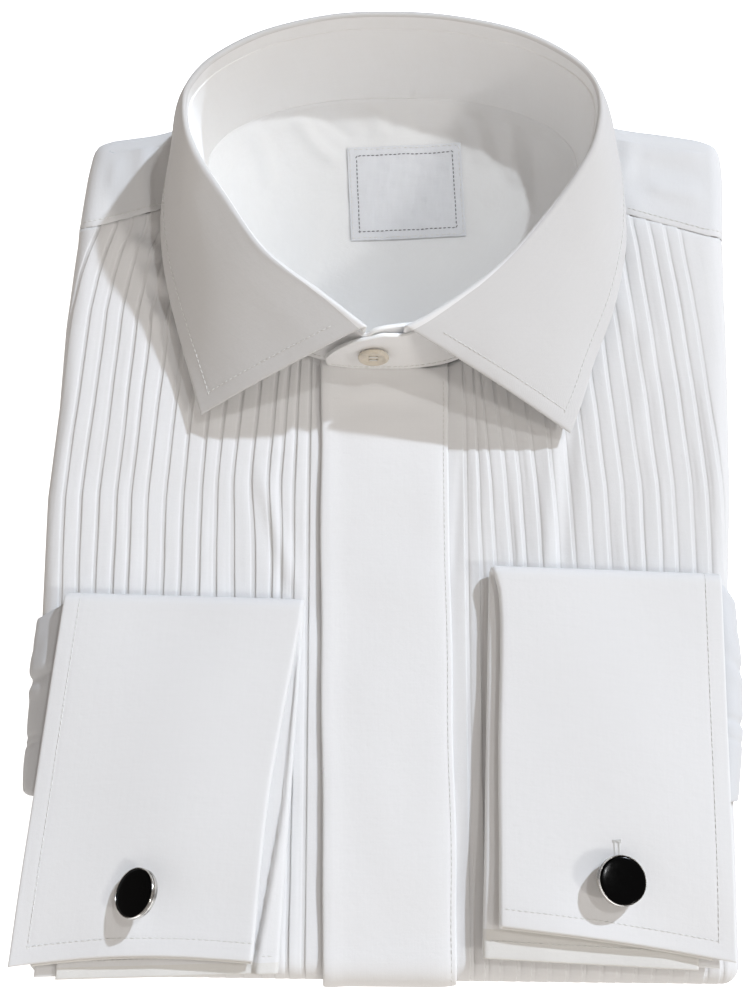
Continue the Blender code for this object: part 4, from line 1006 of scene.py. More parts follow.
# Across the placket, from its free edge: share of its width, height over the stack
PLACKET_LIFTS = np.array((
    (0.0, 2.85), (0.03, 3.0), (0.07, 3.0), (0.13, 2.7), (0.2, 2.58), (0.5, 2.55),
    (0.82, 2.58), (0.9, 2.45), (0.94, 2.2), (0.955, 2.1), (0.97, 2.05), (1.0, 1.8),
))
PLACKET_CREASES = (
    (-25.6, 33.7, 18.7, 40.0, 2.2, 0.5, 1.2),
    (-17.0, 28.6, 11.1, 27.1, 2.6, -0.35, -0.8),
    (-18.0, 22.0, 14.0, 25.0, 3.5, 0.25, 1.5),
    (-20.0, -30.0, 16.0, -36.0, 9.0, 0.2, 2.0),
    (-8.0, -70.0, 2.0, -150.0, 7.0, 0.25, 2.0),
)
PLACKET_WIDTH = 46.0
PLACKET_LOW = (-23.6, 22.6)    # x of its edges at the lower fold
PLACKET_HIGH = (-26.4, 21.4)   # and at the neck


def placket_cloth():
    """The placket's folded strip, from the lower fold up to the neck."""
    share = stations(PLACKET_WIDTH, step=1.7, edge=0.9, fine=4.0) / PLACKET_WIDTH
    lift = np.interp(share, *PLACKET_LIFTS.T)
    low, high = blend(*PLACKET_LOW, share), blend(*PLACKET_HIGH, share)
    limit = hem_y(low) + EDGE_REACH
    top = front_top_y(high)
    y = rows_up(limit, top, 110)
    x = blend(low, high, np.clip((y + 170.0) / 212.0, 0.0, 1.0))
    x = x + 0.3 * waves(share * 60.0, y, size=70.0, seed=31)
    soft = ease((y - limit) / 10.0) * ease((top - y) / 8.0)
    lift = lift + soft * (creases(x, y, PLACKET_CREASES) + 0.10 * waves(x, y, size=30.0, seed=33))
    cloth = Cloth(laid(x, y, lift), wall=1.45, edge=0.9)
    from_sewn = cloth.across[:, -1:] - cloth.across
    return cloth.press(groove(from_sewn - PLACKET_STITCH, width=0.5, depth=0.14))


# ---------------------------------------------------------------- yoke and its inside

YOKE_CREASES = (
    (-97.4, 143.0, -93.7, 106.0, 3.0, 0.9, 1.5),
    (-91.5, 141.0, -88.0, 108.0, 2.5, -0.5, 1.0),
    (-108.4, 132.0, -114.0, 113.0, 3.2, 0.7, -1.0),
    (-118.0, 127.0, -103.0, 108.0, 4.0, -0.35, 1.0),
    (95.0, 144.5, 91.4, 122.0, 3.0, 0.8, -1.2),
    (101.5, 120.5, 125.0, 114.8, 2.8, 0.7, 1.0),
    (98.0, 135.8, 127.0, 134.8, 3.6, 0.6, 0.8),
    (104.0, 128.0, 124.0, 125.0, 3.0, -0.4, 0.0),
    (84.0, 138.0, 98.0, 108.0, 4.0, 0.4, 2.0),
)
YOKE_LIFT = 1.4                # the yoke's middle over the stack


def yoke_cloth():
    """The yoke's outside, from the neck seam out and down over the stack's edge."""
    def edge_points(places):
        return spline(YOKE_ROWS, places)[:, 1:3]

    places = places_along(edge_points, len(YOKE_ROWS) - 1.0, step=2.6, edge=0.8, fine=5.0)
    place, edge_x, edge_y, degrees = spline(YOKE_ROWS, places).T
    facing = np.stack((np.cos(np.radians(degrees)), np.sin(np.radians(degrees))), axis=1)
    limit = np.stack((edge_x, edge_y), axis=1) - facing * EDGE_REACH
    neck = neck_points(place, STAND_WALL)
    share = np.concatenate((np.array((0.0, 0.004, 0.012, 0.025)), np.linspace(0.05, 1.0, 26)))
    flat = blend(neck[:, None], limit[:, None], share[None, :, None])
    x, y = flat[..., 0], flat[..., 1]
    soft = ease(share / 0.15) * ease((1.0 - share) / 0.12)
    lift = YOKE_LIFT + soft * (creases(x, y, YOKE_CREASES) + 0.2 * waves(x, y, size=26.0, seed=41))
    flat = np.stack((x, y, stack_top(x, y) + np.maximum(lift, YOKE_LIFT - 0.3)), axis=-1)
    overs = np.append(np.linspace(0.0, QUARTER_ROLL, 9)[1:],
                      QUARTER_ROLL + np.array((1.0, 2.0, 2.7, 3.1, 3.3, WRAP_DROP)))
    rolled = [roll_down(limit[:, 0], limit[:, 1], facing[:, 0], facing[:, 1], over,
                        YOKE_LIFT - 0.6 * ease(over / overs[-1])) for over in overs]
    grid = np.concatenate((flat, np.stack(rolled, axis=1)), axis=1)
    cloth = Cloth(grid, wall=0.55, edge=(1.5, 1.5, 0.4, 0.4), flip=True)
    from_seam = np.minimum(cloth.along, cloth.along[-1:] - cloth.along)
    cloth.grid[..., 2] -= 0.2 * np.exp(-(from_seam / 1.6) ** 2)
    return cloth.press(groove(from_seam - YOKE_STITCH, width=0.6, depth=0.06))


BASIN_CREASES = (
    (-38.0, 153.0, -20.0, 133.0, 3.0, 1.6, 2.0),
    (-30.0, 155.0, -14.0, 143.0, 2.4, -1.1, 1.0),
    (-8.0, 157.0, -4.0, 143.0, 3.4, 1.5, -1.0),
    (10.0, 156.0, 13.0, 145.0, 3.0, -1.0, 0.5),
    (30.0, 155.0, 38.0, 132.0, 3.4, 1.6, -2.0),
    (49.0, 148.0, 52.0, 124.0, 3.6, 1.9, 1.5),
    (57.0, 140.0, 60.0, 112.0, 2.8, -1.4, 1.0),
    (-54.0, 144.0, -47.0, 122.0, 3.4, 1.2, -1.5),
    (-60.0, 128.0, -44.0, 84.0, 5.0, 0.7, 3.0),
    (-24.0, 118.0, -33.0, 76.0, 4.5, 0.7, 2.0),
    (36.0, 112.0, 28.0, 66.0, 5.0, 0.7, -2.0),
    (-10.0, 92.0, 22.0, 84.0, 6.0, 0.5, 2.0),
    (55.0, 110.0, 42.0, 78.0, 4.0, 0.6, -2.0),
)


def basin_rise(place):
    """How far the inside rises to the neck seam, which fades out at the front."""
    x, y = neck_points(place).T
    return (stand_foot(x, y) + 0.6 - BASIN_FLOOR) * ease((8.0 - rows_from_back(place)) / 2.5)


def basin_height(x, y, place_rise, inset):
    """Inside of the yoke: down from its rim to the folded back, with soft folds."""
    dense = np.linspace(0.0, BASIN_ROWS[-1, 0], 101)
    rows = np.interp(dense, BASIN_ROWS[:, 0], np.arange(len(BASIN_ROWS)))
    share = np.interp(inset, dense, spline(BASIN_ROWS, rows)[:, 1])
    folds = creases(x, y, BASIN_CREASES) + 0.25 * waves(x, y, size=24.0, seed=51)
    fillet = 0.9 * np.exp(-np.maximum(inset, 0.0) / 0.55)
    return BASIN_FLOOR + place_rise * share + fillet + ease((inset - 1.0) / 6.0) * folds


def rim_height(place, x, y, plain):
    """Height of the lining's rim: at the front it stands up under the fronts' neck edge."""
    # it keeps just under the right front and the placket, and meets the band beside them
    under = stack_top(x, y) + np.interp(x, (-12.0, -9.0), (0.3, 1.4))
    foot = stand_foot(x, y) - 0.15
    front = blend(under, foot, np.interp(x, (-41.0, -38.0, 9.5, 12.0), (1.0, 0.0, 0.0, 1.0)))
    return blend(plain, front, ease((rows_from_back(place) - 5.5) / 1.0))


RIM_BEND = 0.42                # the upright rim bends down into the inside within this


def lining_cloth():
    """Inside of the yoke and back, from the neck seam down to the folded back."""
    place = np.linspace(0.0, len(NECK_ROWS), 241)[:-1]
    rim = neck_points(place, RIM_INSET)
    reach = np.linalg.norm(rim - NECK_CENTRE, axis=1)
    near = np.concatenate((np.array((0.0, 0.08, 0.17, 0.28, 0.4, 0.54, 0.7, 0.92)),
                           np.linspace(1.2, 30.0, 30)))
    inset = np.concatenate((np.broadcast_to(near[:, None], (len(near), len(place))),
                            blend(near[-1], reach[None], np.linspace(0.0, 1.0, 24)[1:, None])))
    points = rim + (NECK_CENTRE - rim) * (inset / reach)[..., None]
    x, y = points[..., 0], points[..., 1]
    height = basin_height(x, y, basin_rise(place), inset)
    upright = rim_height(place, x[0], y[0], height[0]) - height[0]
    height = height + upright * np.exp(-(inset / RIM_BEND) ** 2)
    return Cloth(np.stack((x, y, height), axis=-1), wall=0.8, edge=0.25, flip=True, face=True,
                 ring=True)


LABEL_SIZE = (45.5, 39.5)
LABEL_CENTRE = (6.6, 120.6)
LABEL_TURN = math.radians(2.6)


def label_cloth():
    """The bare label, on the slope of the inside."""
    across = stations(LABEL_SIZE[0], step=0.9, edge=0.3) - LABEL_SIZE[0] / 2
    down = stations(LABEL_SIZE[1], step=0.9, edge=0.3) - LABEL_SIZE[1] / 2
    down, across = np.meshgrid(down, across, indexing="ij")
    x = LABEL_CENTRE[0] + across * math.cos(LABEL_TURN) - down * math.sin(LABEL_TURN)
    y = LABEL_CENTRE[1] + across * math.sin(LABEL_TURN) + down * math.cos(LABEL_TURN)
    place = np.linspace(0.0, len(NECK_ROWS), 400)
    rim = neck_points(place, RIM_INSET) - NECK_CENTRE
    turn = np.arctan2(rim[:, 1], rim[:, 0])
    angle = np.arctan2(y - NECK_CENTRE[1], x - NECK_CENTRE[0])
    reach = np.interp(angle, turn, np.linalg.norm(rim, axis=1), period=math.tau)
    rise = np.interp(angle, turn, basin_rise(place), period=math.tau)
    inset = reach - np.hypot(x - NECK_CENTRE[0], y - NECK_CENTRE[1])
    height = basin_height(x, y, rise, inset) + 0.6
    border = np.minimum(np.minimum(LABEL_SIZE[0] / 2 - np.abs(across),
                                   LABEL_SIZE[1] / 2 - np.abs(down)) / 3.0, 1.0)
    height = height + 0.14 * waves(across, down, size=5.0, seed=61) + 0.18 * border
    return Cloth(np.stack((x, y, height), axis=-1), wall=0.5, edge=0.3)


# ---------------------------------------------------------------- collar

def collar_at(places):
    """Neck seam, fold and outer edge of the collar at places counted in its rows."""
    rows = spline(np.array(COLLAR_ROWS), places)
    neck = neck_points(rows[:, 0])
    neck = np.column_stack((neck, stand_foot(neck[:, 0], neck[:, 1])))
    return neck, rows[:, 1:4], rows[:, 4:7]


def fall_sections(neck, fold, edge, direction, reach):
    """Section of the leaf at every place: distance out from its fold, and height."""
    lean = np.sum((neck - fold)[:, :2] * direction, axis=1)
    lean = np.clip((lean - STAND_WALL) / (fold[:, 2] - neck[:, 2]), -0.3, 0.3) * FALL_TURN_IN
    top = fold[:, 2] + 0.5
    across = [lean + FALL_SET, lean * 0.5 + FALL_SET, 0.0 * lean + FALL_SET]
    height = [top - FALL_TURN_IN, top - FALL_TURN_IN / 2, top]
    for degrees in (25.0, 50.0, 75.0, 97.0, 118.0):
        angle = math.radians(degrees)
        across.append(FALL_SET + FALL_ROLL * (1.0 - math.cos(angle)) + 0.0 * lean)
        height.append(top + FALL_ROLL * math.sin(angle))
    start = (FALL_SET + 1.66 * FALL_ROLL, top + 0.72 * FALL_ROLL)
    for share in np.linspace(0.0, 1.0, 15):
        swell = FALL_CAMBER * math.sin(math.pi * share)
        across.append(blend(start[0], reach, share) + 0.5 * swell)
        height.append(blend(start[1], edge[:, 2], share) + 0.8 * swell)
    section = np.stack((np.array(across), np.array(height)), axis=-1)
    return spline(section, np.linspace(0.0, len(section) - 1.0, 240))


def fall_cloth():
    """The turned down leaf, from inside its fold to its outer edge."""
    last = len(COLLAR_ROWS) - 1.0
    places = places_along(lambda dense: collar_at(dense)[2], last, step=2.6, edge=0.9, fine=9.0)
    neck, fold, edge = collar_at(places)
    span = edge[:, :2] - fold[:, :2]
    reach = np.linalg.norm(span, axis=1)
    direction = span / reach[:, None]
    dense = fall_sections(neck, fold, edge, direction, reach)
    length = np.linalg.norm(np.diff(dense, axis=0), axis=2).cumsum(axis=0)
    length = np.concatenate((np.zeros((1, length.shape[1])), length))
    share = stations(float(length[-1].mean()), step=1.5, edge=0.9, fine=9.0)
    share = share / share[-1]
    lines = []
    for row in range(len(places)):
        wanted = share * length[-1, row]
        out = np.interp(wanted, length[:, row], dense[:, row, 0])
        up = np.interp(wanted, length[:, row], dense[:, row, 1])
        lines.append(np.column_stack((fold[row, 0] + direction[row, 0] * out,
                                      fold[row, 1] + direction[row, 1] * out, up)))
    edges = (0.9, 0.9, 0.3, 0.9)
    cloth = Cloth(np.array(lines), FALL_WALL, edge=edges, flip=True, face=True)
    soft = ease((share - 0.25) / 0.15) * ease((1.0 - share) / 0.12)
    grid = cloth.grid + cloth.normal * (soft * 0.22 * waves(
        cloth.grid[..., 0], cloth.grid[..., 1], size=38.0, seed=71))[..., None]
    cloth = Cloth(grid, FALL_WALL, edge=edges, flip=True)
    to_edge = cloth.across[:, -1:] - cloth.across
    ends = np.minimum(cloth.along, cloth.along[-1:] - cloth.along)
    cloth.press(np.where(ends > EDGE_STITCH - 1.0, groove(to_edge - EDGE_STITCH), 0.0))
    past_fold = ease((share - 0.18) / 0.03)
    return cloth.press(np.where(to_edge > EDGE_STITCH - 0.3, groove(ends - EDGE_STITCH), 0.0)
                       * past_fold)


def free_end_frames(rows):
    """Foot and top of one free end of the band."""
    return [(x, foot_y, stand_foot(x, foot_y), x, top_y, top_z)
            for x, foot_y, top_y, top_z in rows]


def band_frames():
    """Foot and top of the collar band, from the underlap round to the overlap."""
    last = len(COLLAR_ROWS) - 1.0
    places = np.arange(0.0, last + 0.1, 0.5)
    neck, fold, _edge = collar_at(places)
    along = collar_at(np.minimum(places + 0.5, last))[1] \
        - collar_at(np.maximum(places - 0.5, 0.0))[1]
    facing = np.stack((-along[:, 1], along[:, 0]), axis=1)
    facing = facing / np.linalg.norm(facing, axis=1, keepdims=True)
    inside = neck.copy()
    inside[:, :2] -= facing * STAND_WALL
    share = (fold[:, 2] - FALL_TURN_IN + 0.55 - neck[:, 2]) / (fold[:, 2] - neck[:, 2])
    top = inside + (fold - inside) * share[:, None]
    top[:, :2] += facing * STAND_WALL
    neck[:, 1] += UNDERLAP_SHIFT * (1.0 - ease(places / 2.0))
    return np.array([*free_end_frames(UNDERLAP_ROWS), *np.concatenate((neck, top), axis=1),
                     *free_end_frames(OVERLAP_ROWS)])


BAND_WIDTH = 26.0              # about its width at the front, which spaces its columns


def band_cloth():
    """The collar band, once round the neck with its free ends overlapped."""
    frames = band_frames()
    places = places_along(lambda dense: spline(frames, dense)[:, :3], len(frames) - 1.0,
                          step=2.2, edge=0.9, fine=5.0)
    rows = spline(frames, places)
    share = stations(BAND_WIDTH, step=1.6, edge=0.9, fine=4.0) / BAND_WIDTH
    grid = blend(rows[:, None, 0:3], rows[:, None, 3:6], share[None, :, None])
    cloth = Cloth(grid, STAND_WALL, edge=(0.9, 0.9, 0.35, 0.3), face=True)
    return cloth.press(groove(cloth.across - BAND_STITCH, width=0.6, depth=0.05))


# ---------------------------------------------------------------- cuffs and sleeves

def cuff_bed(x, y, along):
    """Height of a cuff's underside, which rises from its closed fold to its ends."""
    return stack_top(x, y) + PANEL_TOP + PLEAT_RISE + blend(*CUFF_LIFT, along)


def edge_shift(corners, along):
    """How far the rolled edge of the upper side stands off the straight line, in x."""
    rows = np.array(corners["edge_shift"])
    return spline(rows, np.interp(along, rows[:, 0], np.arange(len(rows))))[..., 1]


def cuff_plan(corners, turn, across, along):
    """Plan point of a cuff: turn is 0 on its upper side and 1 on its lower side."""
    fold_in, fold_out = (np.array(point) for point in corners["fold"])
    end_in = blend(np.array(corners["upper_end"][0]), np.array(corners["lower_end"][0]), turn)
    end_out = blend(np.array(corners["upper_end"][1]), np.array(corners["lower_end"][1]), turn)
    top = blend(fold_in, fold_out, across)
    plan = blend(top, blend(end_in, end_out, across), along)
    bow = corners["bow"] * np.sin(math.pi * across) * (1.0 - turn) * along ** 4
    shift = edge_shift(corners, along) * (1.0 - turn) * np.clip(1.0 - across, 0.0, 1.0) ** 2
    return plan + bow * np.array((0.0, 1.0)) + shift * np.array((1.0, 0.0))


def cuff_section(width):
    """Columns of a cuff: its outer leaf in to the rolled fold, round it and out again.

    Returns their distances out from the fold and off the middle of the closed cuff, and
    how many are on the outer leaf.
    """
    outer = CUFF_HALF - CUFF_WALL / 2
    inner = CUFF_INNER_GAP / 2 + CUFF_WALL / 2
    bend = (outer - inner) / 2
    round_fold = np.linspace(0.0, math.pi, 9)
    leaf = stations(width - bend, step=2.2, edge=0.8, fine=9.0)
    leaf = leaf[leaf < width - bend - CUFF_CLEAR]
    back = stations(width - CUFF_SEAM_SHORT - bend, step=2.6, edge=0.8, fine=2.5)
    back = np.union1d(np.arange(0.95, 20.0, 0.8), back[back > 20.0])
    out = np.concatenate((width - leaf, bend - bend * np.sin(round_fold), bend + back))
    off = np.concatenate((np.full(len(leaf), outer),
                          (outer + inner) / 2 + bend * np.cos(round_fold),
                          np.full(len(back), inner)))
    return out, off, len(leaf)


def cuff_cloth(side):
    """A closed double cuff; also the columns on its outer leaf and its ends' painted shade."""
    corners = CUFFS[side]
    fold_in, fold_out = corners["fold"]
    width = math.dist(fold_in, fold_out)
    length = math.dist(fold_in, corners["upper_end"][0])
    start = CUFF_HALF / length
    out, off, leaf_columns = cuff_section(width)
    # rows: from the upper side's linked end round the closed fold to the lower side's
    run = stations(length - CUFF_HALF, step=2.3, edge=0.8, fine=9.0)
    upper = 1.0 - run[run < length - CUFF_HALF - CUFF_CLEAR] / length
    lower = start + run[run > CUFF_CLEAR] / length
    bends = np.linspace(0.0, math.pi, 13)
    along = np.concatenate((upper, np.full(len(bends), start), lower))[:, None]
    angle = np.concatenate((0.0 * upper, bends, 0.0 * lower + math.pi))[:, None]
    down = along - off * np.sin(angle) / length
    share = np.broadcast_to(out / width, down.shape)
    plan = cuff_plan(corners, (angle / math.pi)[..., None] * np.ones_like(share)[..., None],
                     share[..., None], down[..., None])
    x, y = plan[..., 0], plan[..., 1] - CUFF_LEAF_STEP * (off < 2.0) * ease((down - 0.9) / 0.1)
    height = cuff_bed(x, y, down) + CUFF_HALF + off * np.cos(angle)
    link = np.hypot(x - corners["link"][0], y - corners["link"][1])
    swell = np.sin(math.pi * np.clip(share, 0.0, 1.0)) * ease(down / 0.3)
    billow = 0.9 * swell * ease((1.0 - down) / 0.5)
    billow = billow + 0.35 * waves(x, y, size=70.0, seed=corners["seed"])
    billow = billow - 1.2 * np.exp(-(link / 10.0) ** 2)
    ends = ease((down - 0.82) / 0.18)
    billow = billow + 1.0 * ends * np.sin(math.pi * share * 1.5 + 0.4) * ease(link / 26.0)
    upward = np.cos(angle / 2.0) ** 2 * np.where(off > 2.0, 1.0, 0.7)
    sag = 0.5 * ends * np.sin(math.pi * share * 2.0 + corners["sag_phase"])
    height = height + np.maximum(billow, -0.9) * upward - np.abs(sag) * (1.0 - upward)
    bared = np.abs((corners["lower_end"][0][0] - corners["upper_end"][0][0]) * down)
    bared = np.maximum(bared - corners["sign"] * edge_shift(corners, down), 0.1) / width
    shown = ease((bared - share) / 0.011) * ease((angle / math.pi - 0.5) / 0.5)
    shown = shown * blend(0.35, 1.0, np.clip(share / bared, 0.0, 1.0))
    height = height + corners["puff"] * shown * ease(down / 0.25)
    cloth = Cloth(np.stack((x, y, height), axis=-1), CUFF_WALL, edge=0.8)
    if cloth.normal[5, 20, 2] < 0.0:
        cloth.normal = -cloth.normal
    rims = np.minimum(cloth.along, cloth.along[-1:] - cloth.along)
    cloth.press(np.where(cloth.across > EDGE_STITCH - 0.4, groove(rims - EDGE_STITCH), 0.0))
    cloth.press(np.where(rims > EDGE_STITCH - 0.4, groove(cloth.across - EDGE_STITCH), 0.0))
    # The cells within cream of the linked ends take the painted shade.
    return cloth, leaf_columns, rims < corners["cream"]


SLEEVE_SPAN = (70.0, 34.0)     # along and across the stretch that SLEEVE_CREASES are for
SLEEVE_CREASES = (
    (25.0, 10.0, 26.5, 33.0, 1.7, -0.5, 1.0),
    (20.0, 8.0, 22.5, 30.0, 3.0, 0.3, 1.0),
    (30.0, 9.0, 29.0, 30.0, 2.4, 0.45, 0.5),
    (50.0, 6.0, 48.5, 32.0, 1.0, -0.4, 1.5),
    (12.0, 14.0, 15.0, 33.0, 2.4, -0.3, 0.5),
)


def sleeve_cloth(side):
    """The folded sleeve's stretch from inside a cuff down over the shirt's side."""
    corners = CUFFS[side]
    sign = corners["sign"]
    top_y, end_y, top_flare, end_flare = corners["sleeve"]
    fold_out, end_out = corners["fold"][1], corners["upper_end"][1]
    share = stations(abs(end_y - top_y), step=0.8, edge=0.8)[:, None] / abs(end_y - top_y)
    y = blend(top_y, end_y, share)
    along = (y - fold_out[1]) / (end_out[1] - fold_out[1])
    free_edge = blend(fold_out[0], end_out[0], along)
    middle = cuff_bed(free_edge, y, along) + CUFF_HALF
    folds = np.array(corners["sleeve_wall"])
    wall = spline(folds, np.interp(share[:, 0], folds[:, 0], np.arange(len(folds))))[:, 1:]
    start = free_edge - sign * (CUFF_SEAM_SHORT - 0.5)
    inside = middle - 2.0
    path = [np.stack((start, y, inside), axis=-1),
            np.stack((free_edge, y, inside - 0.3), axis=-1)]
    wide = y + blend(top_flare, end_flare, share)
    limit = side_limit(wide, np.full_like(wide, sign))
    for over in (5.0, 7.2, 9.4, 12.5, 15.5, 19.0):
        lift = blend(1.3, 1.8, share) + PLEAT_RISE * ease((8.0 - over) / 4.0)
        path.append(roll_down(limit, wide, sign, 0.0, over, lift))
    path = np.concatenate(path, axis=1)
    length = run_length(path[len(path) // 2])
    wanted = stations(length[-1], step=0.9, edge=0.6)
    inner = spline(np.swapaxes(path, 0, 1), np.interp(wanted, length, np.arange(8.0)))
    inner = np.swapaxes(inner, 0, 1)
    base = Cloth(inner, wall=1.0)
    normal = base.normal if np.mean(base.normal[..., 0]) * sign > 0.0 else -base.normal
    reach = wanted / wanted[-1]
    soft = ease((wall - 1.2) / 0.8)
    down, over = share * SLEEVE_SPAN[0], reach * SLEEVE_SPAN[1]
    wall = wall + soft * 0.14 * waves(y, over, size=26.0, seed=101)
    wall = wall + soft * creases(down, over, SLEEVE_CREASES)
    wall = np.maximum(wall, 0.7) * blend(0.45, 1.0, ease((reach - 0.16) / 0.22))
    cloth = Cloth(inner + normal * (wall / 2.0)[..., None], wall=1.0, edge=0.8)
    cloth.normal = normal
    cloth.half = cloth.half * wall
    return cloth


# ---------------------------------------------------------------- hidden folded layers

LAYERS = 5
# One folded edge in section, from its top: share of its height, how far out it stands
LAYER_SECTION = ((0.03, -1.5), (0.10, -0.5), (0.22, 0.0), (0.36, 0.25), (0.5, 0.35),
                 (0.64, 0.25), (0.78, 0.0), (0.90, -0.5), (0.97, -1.5))
UNDERSIDE = (1.0, 0.98, 0.94, 0.85, 0.6, 0.3, 0.0)   # shares of the plan, in to the middle


def stack_outline():
    """The stack's plan, once round: flat limit x and y, and the way its edge faces."""
    yoke_rows = spline(YOKE_ROWS, np.arange(0.0, len(YOKE_ROWS) - 0.9, 0.25))
    rows = [(edge_x - math.cos(math.radians(turn)) * EDGE_REACH,
             edge_y - math.sin(math.radians(turn)) * EDGE_REACH, turn)
            for _place, edge_x, edge_y, turn in yoke_rows]
    rows += [(float(side_limit(y, 1)), y, 0.0) for y in SIDE_ROWS[::-1, 0][1:-1]]
    left, right = (float(side_limit(-172.0, side)) for side in (1, -1))
    hem = [(left, turn) for turn in (0.0, -22.0, -45.0, -67.0, -90.0)]
    hem += [(x, -90.0) for x in np.linspace(left, right, 12)[1:-1]]
    hem += [(right, turn) for turn in (-90.0, -113.0, -135.0, -158.0, -180.0)]
    rows += [(x, hem_y(x) + EDGE_REACH, turn) for x, turn in hem]
    rows += [(float(side_limit(y, -1)), y, -180.0) for y in SIDE_ROWS[:, 0][1:-1]]
    rows = np.array(rows)
    closed = np.concatenate((rows, rows[:1] + np.array((0.0, 0.0, -360.0))))
    fine = np.linspace(0.0, len(rows), len(rows) * 3 + 1)[:-1]
    columns = [np.interp(fine, np.arange(len(closed)), closed[:, axis]) for axis in range(3)]
    return np.array(columns)


def stack_cloth():
    """Back, tail and sleeves folded away: one skin with layered, rounded folded edges."""
    x, y, degrees = stack_outline()
    facing_x, facing_y = np.cos(np.radians(degrees)), np.sin(np.radians(degrees))
    rings = []
    for inset in (2.6, 1.2):
        share = 1.0 - inset / np.hypot(x, y)
        flat_x, flat_y = x * share, y * share
        rings.append(np.stack((flat_x, flat_y, stack_top(flat_x, flat_y) - 0.3), axis=-1))
    for over in (0.0, 1.6, 3.1, 4.7, 6.3, 7.8, QUARTER_ROLL, 10.6, 11.9):
        rings.append(roll_down(x, y, facing_x, facing_y, over, -0.3))
    below = stack_top(x, y) - ROLL_RADIUS - WRAP_DROP - 0.1
    round_trip = np.linspace(0.0, math.tau, len(x), endpoint=False)
    round_x, round_y = np.cos(round_trip) * 120.0, np.sin(round_trip) * 160.0
    thick = 1.0 / LAYERS
    for layer in range(LAYERS):
        uneven = 0.55 * waves(round_x + layer * 37.0, round_y, size=60.0, seed=111 + layer)
        drift = 0.1 * thick * waves(round_x, round_y, size=90.0, seed=131 + layer)
        for share, out in LAYER_SECTION:
            reach = ROLL_RADIUS + out + (np.minimum(uneven, 0.3) if out > 0.0 else 0.0)
            level = 1.0 - (layer + share) * thick
            if 0.2 < share < 0.8:
                level = level + drift
            height = below * np.maximum(level, 0.0)
            rings.append(np.stack((x + facing_x * reach, y + facing_y * reach, height),
                                  axis=-1))
    for share in UNDERSIDE:
        rings.append(np.stack((x * share, y * share, 0.0 * x), axis=-1))
    cloth = Cloth(np.array(rings), wall=0.4, edge=0.3, ring=True)
    if cloth.normal[10, 0, 0] * facing_x[0] < 0.0:
        cloth.normal = -cloth.normal
    cloth.normal[:2] = (0.0, 0.0, 1.0)
    cloth.normal[-len(UNDERSIDE):] = (0.0, 0.0, -1.0)
    cloth.grid -= cloth.normal * 0.2
    return cloth


# ---------------------------------------------------------------- button and cufflinks

SHARP = 50.0                   # edges that turn by more than these degrees stay sharp


def ring_faces(rings, sides):
    """Faces between rings of points, each closed round."""
    return [(ring * sides + step, ring * sides + (step + 1) % sides,
             (ring + 1) * sides + (step + 1) % sides, (ring + 1) * sides + step)
            for ring in range(rings - 1) for step in range(sides)]


def turned(name, profile, sides, centre, tilt, material, sharp=SHARP):
    """Turned solid: profile rows are radius and height on its own leaning axis."""
    lean_x, lean_y = (math.radians(angle) for angle in tilt)
    turn = np.array(Matrix.Rotation(-lean_x, 3, "Y") @ Matrix.Rotation(-lean_y, 3, "X"))
    angle = np.linspace(0.0, math.tau, sides, endpoint=False)
    rings = np.array([np.stack((radius * np.cos(angle), radius * np.sin(angle),
                                np.full(sides, height)), axis=1)
                      for radius, height in profile])
    points = (rings @ turn.T + np.array(centre)).reshape(-1, 3)
    faces = ring_faces(len(profile), sides)
    faces.append(tuple(range(sides)))
    faces.append(tuple(range(len(points) - sides, len(points))))
    piece = mesh_object(name, points, faces, (material,))
    piece.data.set_sharp_from_angle(angle=math.radians(sharp))
    return piece


def combine(piece, others, operation):
    """Join solids to a piece or cut them out of it, so that one plain mesh is left."""
    for other in others:
        step = piece.modifiers.new(other.name, "BOOLEAN")
        step.operation = operation
        step.object = other
    ready = piece.evaluated_get(bpy.context.evaluated_depsgraph_get())
    mesh = bpy.data.meshes.new_from_object(ready)
    piece.modifiers.clear()
    piece.data = mesh
    for other in others:
        bpy.data.objects.remove(other)
    return piece


BUTTON = (-6.3, 36.4)          # x and height of its middle on the band
BUTTON_RADIUS = 5.75
BUTTON_THICK = 2.3
HOLE_RADIUS = 0.62
HOLE_PLACE = 1.25              # of each hole's middle, across and up from the button's
THREAD_SHIFT = 0.16            # of each of the two threads through a pair of holes


def button_place():
    """Centre of the button's back on the overlap, and how far the band leans."""
    rows = np.array(sorted(OVERLAP_ROWS))
    x, height = BUTTON
    foot_y, top_y, top_z = (float(np.interp(x, rows[:, 0], rows[:, column]))
                            for column in (1, 2, 3))
    foot_z = float(stand_foot(x, foot_y))
    lean = math.degrees(math.atan2(top_y - foot_y, top_z - foot_z))
    face_y = blend(foot_y, top_y, (height - foot_z) / (top_z - foot_z))
    return (x, face_y - 0.3, height), lean


